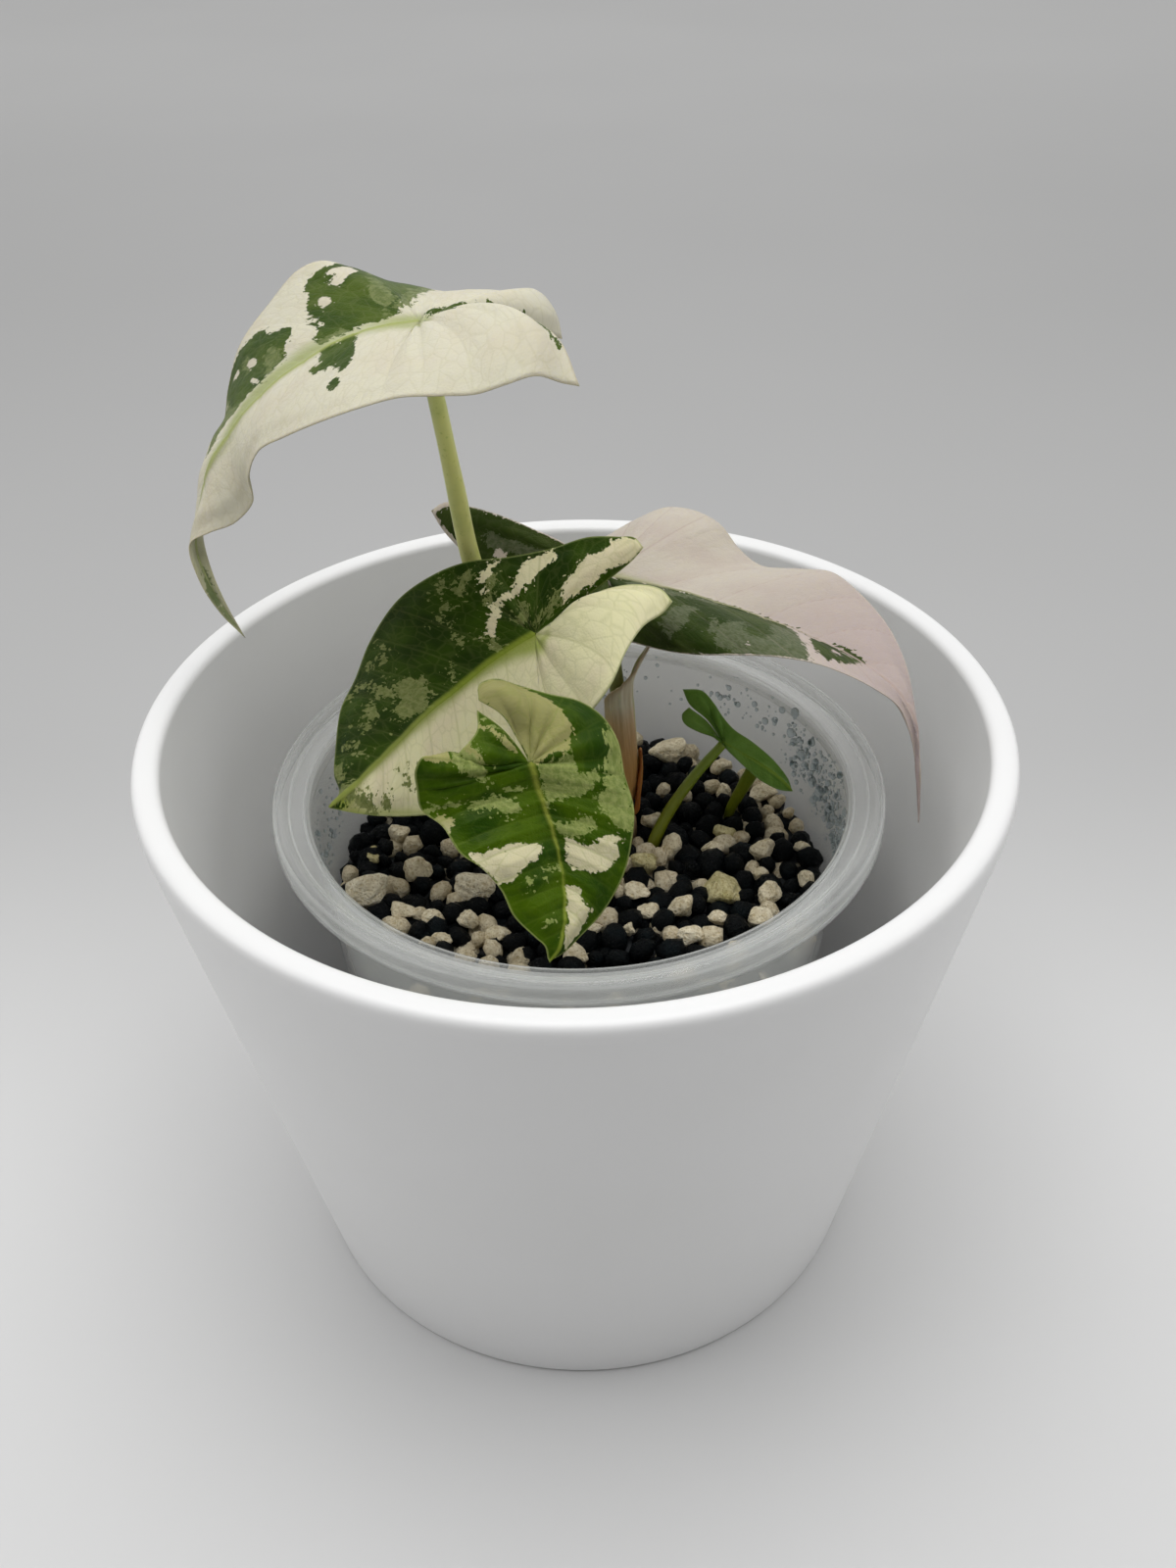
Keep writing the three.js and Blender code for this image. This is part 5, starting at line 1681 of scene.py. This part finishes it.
def front_leaf() -> Leaf:
    """The small leaf in front: dark and lime green with cream patches."""
    skin = LeafSkin(
        "front_skin", pale=(0.345, 0.335, 0.135), warm=(0.27, 0.28, 0.09), blush=(0.62, 0.59, 0.38),
        lime=(0.16, 0.23, 0.01), deep=(0.013, 0.045, 0), deep_light=(0.05, 0.1, 0), sage=(0.27, 0.31, 0.1),
        rib=(0.24, 0.27, 0.04), rib_tip=(0.2, 0.25, 0.03), vein=(0.2, 0.26, 0.04), margin=(0.34, 0.38, 0.13),
        blush_span=(0.15, 0.35), reach=2.6, grain=3.1, ribs=0.3,
    )
    front = HalfBlade(
        edge=(
            (-5.5, -44.5, 102.5), (-7, -44, 104), (-10.5, -42.5, 107.5), (-12.5, -40.5, 111.5),
            (-15.5, -39.5, 115.5), (-19, -38, 117.5), (-22, -34.5, 120.5), (-25.5, -32.5, 122.5),
            (-26, -31.5, 126), (-26, -31, 129.5), (-24.5, -30, 131.5), (-21, -29, 129.5), (-18, -27.5, 131.5),
            (-16, -25, 133), (-16, -22, 135),
        ),
        turn=9,
        cleft=((-10, -23, 129), (-12.5, -23, 132.5)),
        marks=(
            (LIME, (44, 0, 1), (48, 25, 1)),
            (ISLE, (58.5, 20), (56, 24), (53.5, 33), (52.5, 44), (49, 58), (46.5, 70), (44, 80), (42, 100),
             (58, 100), (62, 95), (61.5, 80), (62, 62), (63, 52), (61, 35), (60, 25)),
            (ISLE, (80, 88), (75, 97), (74, 100), (83, 100), (86, 92)),
            (ISLE, (125, 76), (127, 97), (133, 100), (142, 93), (135, 82)),
            (ISLE, (160, 75, 0.3), (166, 95, 0.6)),
            (ISLE, (177, 35, 0.2), (183, 60, 0.4), (187, 98, 0.5)),
            (SAGE, (77, 28), (76.5, 42), (80, 52), (81, 62), (84, 66), (87, 60), (88, 50), (90, 42), (88, 35),
             (84, 28)),
            (SAGE, (100, 37), (110, 42), (130, 47), (145, 58), (158, 68), (168, 85), (172, 100), (155, 100),
             (145, 87), (135, 80), (125, 72), (120, 62), (110, 52), (100, 45)),
            (SAGE, (89, 70, 0.3), (90, 85, 0.3), (88.5, 98, 0.4)),
            (SAGE, (89, 10, 0.4), (91, 28, 0.4)),
            (SAGE, (47, 8, 0.5), (46, 25, 0.4)),
            (SAGE, (21, 35, 0.3), (22, 47, 0.3)),
            (SAGE, (43, 52, 0.3), (42, 60, 0.3)),
            (SAGE, (190, 45, 0.4), (193, 95, 0.4)),
        ),
        ground=DEEP,
    )
    rear = HalfBlade(
        edge=(
            (-2.5, -43, 99.5), (0.5, -40.5, 101), (4.5, -37, 103.5), (8, -33, 108), (9.5, -29.5, 112.5),
            (10, -25.5, 116.5), (8.5, -21.5, 121), (7.5, -19, 126), (5, -16.5, 129.5), (1, -14.5, 131.5),
            (-4.5, -13.5, 132.5), (-9.5, -13, 134), (-13.5, -14, 136), (-16, -15, 135.5), (-16, -17.5, 134),
        ),
        turn=7,
        cleft=((-9.5, -21.5, 128.5), (-12, -20, 132.5)),
        marks=(
            (LIME, (60, 10, 1), (80, 10, 1.6), (100, 6, 1.4), (180, 6, 1)),
            (ISLE, (13, 25), (11, 40), (10, 60), (10, 80), (14, 80), (19, 78), (22, 72), (26, 69), (31, 62),
             (33, 45), (34, 38), (37, 36), (39, 34), (39, 10), (38, 3), (25, 5), (18, 12)),
            (ISLE, (51, 14), (50, 30), (50, 48), (51.5, 60), (54, 70), (57, 80), (62, 84), (65, 80), (66, 73),
             (67.5, 84), (70, 93), (70, 80), (69, 68), (66, 60), (64, 50), (61.5, 40), (63, 30), (63, 17),
             (58, 12)),
            (ISLE, (117, 6), (118, 24), (120, 42), (130, 53), (135, 61), (144, 68), (156.7, 82), (170, 95),
             (174, 100), (200, 100), (200, 0), (160, 0)),
            (SAGE, (130, 100), (122, 95), (118, 84), (113, 87), (107, 77), (99, 76), (92, 68), (86, 56),
             (79, 62), (74, 80), (72, 100)),
            (SAGE, (115, 4), (113, 26), (120, 42), (110, 42), (98, 46), (102, 66), (95, 66), (90, 55),
             (85, 32), (80, 5)),
            (SAGE, (64, 12), (66, 42), (72, 55), (76, 48), (72, 20), (70, 5)),
        ),
        ground=DEEP,
    )
    midrib = (
        (-5, -45, 99.5), (-3.5, -43.5, 101.5), (-2.5, -40.5, 104.5), (-2.5, -35.5, 109), (-4, -30.5, 115.5),
        (-6, -27, 121), (-7.5, -25, 126),
    )
    return Leaf("leaf_front", "leaf_lime_green", skin, midrib, front, rear,
                bulge=1.4, rib_width=0.6, pucker=0.6)


def rear_leaf() -> Leaf:
    """The half pink, half dark green leaf at the right with its thread-like tip."""
    skin = LeafSkin(
        "rear_skin", pale=(0.52, 0.47, 0.4), warm=(0.46, 0.385, 0.34), blush=(0.43, 0.355, 0.335),
        lime=(0.3, 0.32, 0.12), deep=(0.017, 0.036, 0.003), deep_light=(0.042, 0.064, 0.012),
        sage=(0.115, 0.13, 0.075), rib=(0.32, 0.31, 0.18), rib_tip=(0.42, 0.33, 0.3), vein=(0.4, 0.3, 0.27),
        margin=(0.56, 0.5, 0.44), blush_span=(0.15, 0.6), under=(0.44, 0.35, 0.34), grain=2.4, net=0.08,
        ribs=0.45,
    )
    front = HalfBlade(
        edge=(
            (61.3, -15.1, 110.3), (60.4, -14.4, 116.8), (58.8, -13.9, 123.2), (56.5, -13, 128),
            (52.5, -13, 131.5), (47.5, -11, 133.5), (41.5, -10, 135.5), (35, -8.5, 136), (28.5, -4.5, 134),
            (22, 1.5, 130.5), (14.5, 10, 127), (5, 17, 126.5), (-5, 26, 126.5), (-14.5, 34, 128.5),
            (-21.5, 39, 132), (-26, 42, 136), (-28.2, 44, 139.2),
        ),
        turn=10,
        cleft=(
            (3, 29.5, 135), (-1.5, 34, 136.5), (-7.5, 37.5, 138), (-14.5, 40.5, 139.8), (-21, 43, 140.7),
            (-25.4, 44, 141),
        ),
        marks=(
            (DEEP, (54, 5), (54.5, 30), (57.5, 50), (59, 72), (58, 87), (55, 80), (51.5, 78), (47, 58),
             (42, 30), (38, 0), (47, 0), (50, 6)),
            (DEEP, (56.5, 0), (58, 24), (60, 50), (63, 80), (64, 100), (200, 100), (200, 0)),
            (SAGE, (84, 66), (79, 55), (74, 50), (76, 70), (73, 76), (69, 64), (64, 30), (58, 20), (60, 50),
             (63, 82), (65, 100), (85, 100), (88, 88)),
            (SAGE, (100, 66), (92, 45), (86, 32), (84, 39), (92.7, 66), (101, 79)),
            (SAGE, (87, 71), (83, 58), (80, 47), (87, 80)),
            (SAGE, (145, 70, 1.4), (162, 78, 2)),
            (SAGE, (175, 55, 1.2), (185, 80, 1.6)),
            (SAGE, (120, 40, 1), (130, 60, 1.2)),
            (SAGE, (72, 6, 0.7), (95, 8, 1.2)),
            (ISLE, (50.5, 42), (53, 52), (52.5, 62), (49, 50)),
            (ISLE, (46, 22), (47.5, 34), (45, 34)),
            (ISLE, (166, 90, 0.5), (178, 86, 0.9)),
            (ISLE, (78, 86, 0.2), (79, 88, 0.2)),
        ),
    )
    rear = HalfBlade(
        edge=(
            (61.9, -15.2, 110.3), (61.2, -14.6, 116.9), (60.8, -11, 121.8), (60.5, -6, 125.5), (60, 0, 128.5),
            (58, 8.5, 131.5), (54, 16, 134), (49.5, 22, 135.5), (44, 27.5, 133.5), (37, 33, 131.5),
            (33, 36.5, 133.5), (29.5, 40, 137), (25, 44, 138), (19, 49, 136.5), (13.5, 49.5, 134),
            (8, 48, 131.5), (2.5, 46, 129), (-3, 43.5, 127), (-6, 40.5, 125.5),
        ),
        turn=12,
        cleft=((2.5, 31.5, 129.5), (-2, 36, 126.5)),
        marks=(
            (DEEP, (38, 0), (38.5, 8), (43, 14), (46, 8), (46, 0)),
            (DEEP, (50, 0, 0.1), (62, 0, 0.3), (75, 0, 0.2)),
            (DEEP, (180, 0), (186, 50), (190, 100), (200, 100), (200, 0)),
            (LIME, (85, 0, 0.3), (100, 2, 1), (160, 6, 1.2)),
        ),
    )
    midrib = (
        (62, -16, 105), (61.5, -15, 110.5), (60.5, -14, 117.5), (59.5, -12, 124), (57, -9, 128),
        (52.5, -4, 130), (46.5, 1, 131.5), (38.5, 7, 132.5), (28.5, 14, 133), (18, 21, 133), (6.5, 27, 132.5),
    )
    return Leaf("leaf_rear", "leaf_pink_green", skin, midrib, front, rear, rib_width=0.5)


def pup_leaf() -> Leaf:
    """The offset's small plain green leaf."""
    skin = LeafSkin(
        "pup_skin", pale=(0.2, 0.3, 0.05), warm=(0.2, 0.3, 0.05), blush=(0.2, 0.3, 0.05),
        lime=(0.15, 0.25, 0.03), deep=(0.085, 0.185, 0.025), deep_light=(0.15, 0.28, 0.05),
        sage=(0.15, 0.24, 0.04), rib=(0.17, 0.27, 0.03), rib_tip=(0.17, 0.27, 0.03), vein=(0.15, 0.25, 0.02),
        margin=(0.16, 0.26, 0.08), roughness=0.28,
    )
    front = HalfBlade(
        edge=(
            (40.6, 11.5, 92.2), (37.1, 12.4, 93.8), (34, 14, 96), (31, 15.4, 98.6), (27.8, 17.2, 101.2),
            (24.6, 17.4, 102.6), (21.7, 18.2, 104.2), (21.3, 19.3, 105.6), (22.7, 19.7, 107),
        ),
        turn=4,
        cleft=((26.4, 19, 104),),
        ground=DEEP,
    )
    rear = HalfBlade(
        edge=(
            (42.9, 13.9, 92.6), (40.1, 15.6, 96.2), (35.7, 17, 100), (31.6, 18, 102.8), (29.3, 19.4, 105.2),
            (27.7, 20.6, 107.4), (25.4, 22.4, 109.2), (21.5, 22.1, 109.8),
        ),
        turn=4,
        cleft=((26.4, 19.2, 104.2), (22.8, 20.2, 107.4)),
        ground=DEEP,
    )
    midrib = ((43.4, 12, 91.2), (40.5, 13.3, 93.8), (36.8, 14.8, 96.2), (32.5, 16.4, 98.4), (29.5, 17, 100.2))
    return Leaf("pup_leaf", "leaf_plain_green", skin, midrib, front, rear,
                bulge=0.5, rib_width=0.5, veins=(0.25, 0.5, 0.75, 1.2, 1.6), rows=60, fans=30, columns=20)


class Plant:
    """Every piece of the plant, with its finishes."""

    def stalks(self) -> None:
        """The four leaf stalks, the offset's stalk and its furled shoot."""
        olive = StalkSkin("olive_stalk", (0.30, 0.22, 0.10), (0.24, 0.25, 0.07), (0.22, 0.27, 0.07)).build()
        pale = StalkSkin("pale_stalk", (0.62, 0.60, 0.24), (0.66, 0.66, 0.23), (0.62, 0.65, 0.22)).build()
        green = StalkSkin("green_stalk", (0.14, 0.14, 0.005), (0.17, 0.20, 0.005), (0.17, 0.25, 0.01)).build()
        Stalk("petiole_tall", (
            (1, 19, 82.8), (1, 19, 84.5), (-3.5, 20.8, 92), (-9.5, 23, 106), (-15.2, 25, 122),
            (-19.3, 25.5, 138), (-21.2, 22.3, 156), (-22.6, 17, 173), (-23.9, 13, 186.4),
        ), (2.6, 1.3)).build(pale)
        Stalk("petiole_centre", (
            (2.6, 14, 82.8), (2.6, 14, 84.5), (0.5, 13.6, 97), (-3, 11.8, 114), (-6.8, 7.3, 130.8),
        ), (2.2, 1.2)).build(olive)
        Stalk("petiole_front", (
            (7.6, 13, 82.8), (7.6, 13, 84.5), (6, 6, 95), (2, -5, 108), (-3, -16, 118), (-6.9, -23.6, 124.2),
        ), (1.8, 1.1), 1.0).build(olive)
        Stalk("petiole_rear", (
            (7.8, 19.2, 82.8), (7.8, 19.2, 84.5), (9.2, 20, 96), (8.8, 20.6, 106), (7.8, 21.8, 116),
            (7, 24.2, 124), (6.6, 26.4, 130.6),
        ), (2, 1.2)).build(olive)
        Stalk("pup_petiole", (
            (14.8, 9.8, 74), (15.4, 10.2, 79.5), (18.2, 11.8, 86), (23.5, 14.3, 93.5), (29, 16.6, 99.4),
        ), (1.4, 0.95)).build(green)
        Stalk("pup_spear", (
            (31.2, 20.6, 74), (32.2, 20.8, 80), (34.4, 20.4, 86), (36.2, 19.6, 91), (37.3, 18.6, 95),
        ), (0.8, 1.7), 0.0).build(green)

    def scales(self) -> None:
        """The thin sheath and the papery scale at the foot of the stalks."""
        sheath = DryScale(
            "sheath_skin", (0.50, 0.27, 0.08), (0.66, 0.61, 0.46), (0.46, 0.37, 0.24), (0.42, 0.45, 0.17)
        )
        edges = (0.32, 0.10, 0.01), (0.40, 0.14, 0.01)
        scale = DryScale("orange_scale", (0.42, 0.13, 0.01), (0.48, 0.20, 0.03), *edges, roughness=0.6)
        Wrap("petiole_sheath", "sheath_skin", (
            (8, 18.9, 83.3, 3.3, -215, 45), (9, 19.4, 90, 3.3, -215, 45), (9.2, 19.9, 97, 3, -210, 40),
            (8.9, 20.2, 104, 2.8, -200, 35), (8.5, 20.7, 110, 2.7, -150, 30), (8.9, 21.2, 114, 2.8, -70, 25),
            (10.6, 22, 118, 2.9, -25, 12), (12.6, 22.6, 122, 3, -12, 0),
        )).build(sheath.build())
        Wrap("cataphyll", "dry_scale", (
            (8.2, 18.6, 83.2, 4.6, -42, 62), (8.6, 18.9, 87.5, 4.4, -36, 56), (9.1, 19.3, 92, 4.1, -22, 40),
            (9.3, 19.6, 97, 3.8, -6, 10),
        )).build(scale.build())

    def build(self) -> None:
        """The corm, scales, stalks and blades."""
        Corm().build()
        self.scales()
        self.stalks()
        ragged = ragged_edge()
        for leaf in (tall_leaf(), centre_leaf(), front_leaf(), rear_leaf(), pup_leaf()):
            leaf.build(ragged)


def grey(tone: float) -> Colour:
    """A neutral colour."""
    return tone, tone, tone


@dataclass(frozen=True)
class Lamp:
    """A square area light at a place, aimed at a point; places and size are in metres, the power in watts."""

    name: str
    place: Place
    aim: Place
    size: float
    power: float

    def build(self) -> None:
        """The light, turned so that its -Z points at the aim."""
        data = bpy.data.lights.new(self.name, "AREA")
        data.shape, data.size, data.energy = "SQUARE", self.size, self.power
        back = unit(np.array(self.place) - np.array(self.aim))
        side = unit(np.cross([0.0, 1.0, 0.01], back))
        turn = Matrix(np.stack([side, np.cross(back, side), back], -1).tolist())
        place_object(self.name, data).matrix_world = Matrix.Translation(self.place) @ turn.to_4x4()


@dataclass(frozen=True)
class Studio:
    """The camera, a plain pale floor and soft light; places are in metres and angles in degrees."""

    eye: Place = (0.0022, -0.2254, 0.2704)
    pitch: float = 36.6
    roll: float = -1.04
    focal_pixels: float = 1500.0
    frame_height: float = 1600.0
    sensor: float = 36.0
    floor_radius: float = 6.0
    floor_depth: float = 0.02
    # Floor tones near the camera, behind the pot and far away, painted light and shade that stand for how the
    # light falls; and the two tones of the surroundings.
    floor_shading_tones: tuple[float, float, float] = (0.68, 0.47, 0.72)
    sky_dark: Colour = (0.27, 0.27, 0.27)
    sky_light: Colour = (0.72, 0.72, 0.715)
    lamps: tuple[Lamp, ...] = (
        Lamp("top_light", (0.0, -0.02, 0.78), (0.0, 0.0, 0.1), 0.55, 3.0),
        Lamp("left_light", (-0.6, -0.05, 0.5), (0.0, 0.0, 0.08), 0.4, 0.7),
        Lamp("right_light", (0.6, 0.0, 0.5), (0.0, 0.0, 0.08), 0.4, 0.5),
    )

    def camera(self) -> Piece:
        """A camera at the photograph's place and angle."""
        pitch, roll = np.radians(self.pitch), np.radians(self.roll)
        ahead = np.array([0.0, np.cos(pitch), -np.sin(pitch)])
        side, up = np.array([1.0, 0.0, 0.0]), np.array([0.0, np.sin(pitch), np.cos(pitch)])
        right = np.cos(roll) * side + np.sin(roll) * up
        above = np.cos(roll) * up - np.sin(roll) * side
        data = bpy.data.cameras.new("camera")
        data.sensor_width = self.sensor
        data.lens = self.sensor * self.focal_pixels / self.frame_height
        data.clip_start, data.clip_end = 0.01, 50.0
        camera = place_object("camera", data)
        turn = Matrix(np.stack([right, above, -ahead], -1).tolist())
        camera.matrix_world = Matrix.Translation(self.eye) @ turn.to_4x4()
        bpy.context.scene.camera = camera
        return camera

    def floor(self) -> Piece:
        """A wide round floor whose tone is painted light and shade, darker behind the pot, with a very faint
        mottle.
        """
        wide, low = self.floor_radius, -self.floor_depth
        profile = np.array([[0.0, low], [wide, low], [wide, 0.0], [0.0, 0.0]])
        floor = make_mesh("floor", *lathe(profile, 96), smooth=False)
        paint = Finish("pale_floor")
        cloud = paint.noise(paint.where(), 0.25)
        depth = paint.add("SeparateXYZ", {0: paint.where()}).outputs["Y"]
        near, behind, far = (grey(tone) for tone in self.floor_shading_tones)
        # Painted light and shade: darker behind the pot, paler near the camera and far away.
        colour = paint.mix(paint.step(depth, -0.03, 0.17), near, behind)
        colour = paint.mix(paint.step(depth, 0.25, 1.4), colour, far)
        colour = paint.tint(paint.step(cloud, 0.3, 0.7), colour, grey(0.98))
        floor.data.materials.append(paint.shade({"Base Color": colour, "Roughness": 0.75}))
        return floor

    def sky(self) -> None:
        """Even grey surroundings that are darker on the camera's side."""
        world = bpy.data.worlds.new("surroundings")
        bpy.context.scene.world = world
        world.use_nodes = True
        world.node_tree.nodes.clear()
        sketch = Sketch(world.node_tree)
        direction = sketch.add("TexCoord").outputs["Generated"]
        depth = sketch.add("SeparateXYZ", {0: direction}).outputs["Y"]
        colour = sketch.mix(sketch.step(depth, -0.8, 0.4), self.sky_dark, self.sky_light)
        background = sketch.add("Background", {"Color": colour, "Strength": 1.0})
        sketch.add("OutputWorld", {"Surface": background.outputs[0]})

    def build(self) -> None:
        """Camera, floor, lights and plain colour handling."""
        self.camera()
        self.floor()
        self.sky()
        for lamp in self.lamps:
            lamp.build()
        bpy.context.scene.view_settings.view_transform = "Standard"


def main() -> None:
    """Builds the studio, the pots, the mix and the plant in order."""
    logging.basicConfig(level=logging.INFO, format="%(message)s")
    Studio().build()
    Cachepot().build()
    pot = ClearPot()
    pot.build()
    pitted = pores()
    MineralMix(pot).build(pitted)
    PumiceStones().build(pitted)
    Plant().build()
    Condensation(pot).build()


if __name__ == "__main__":
    main()
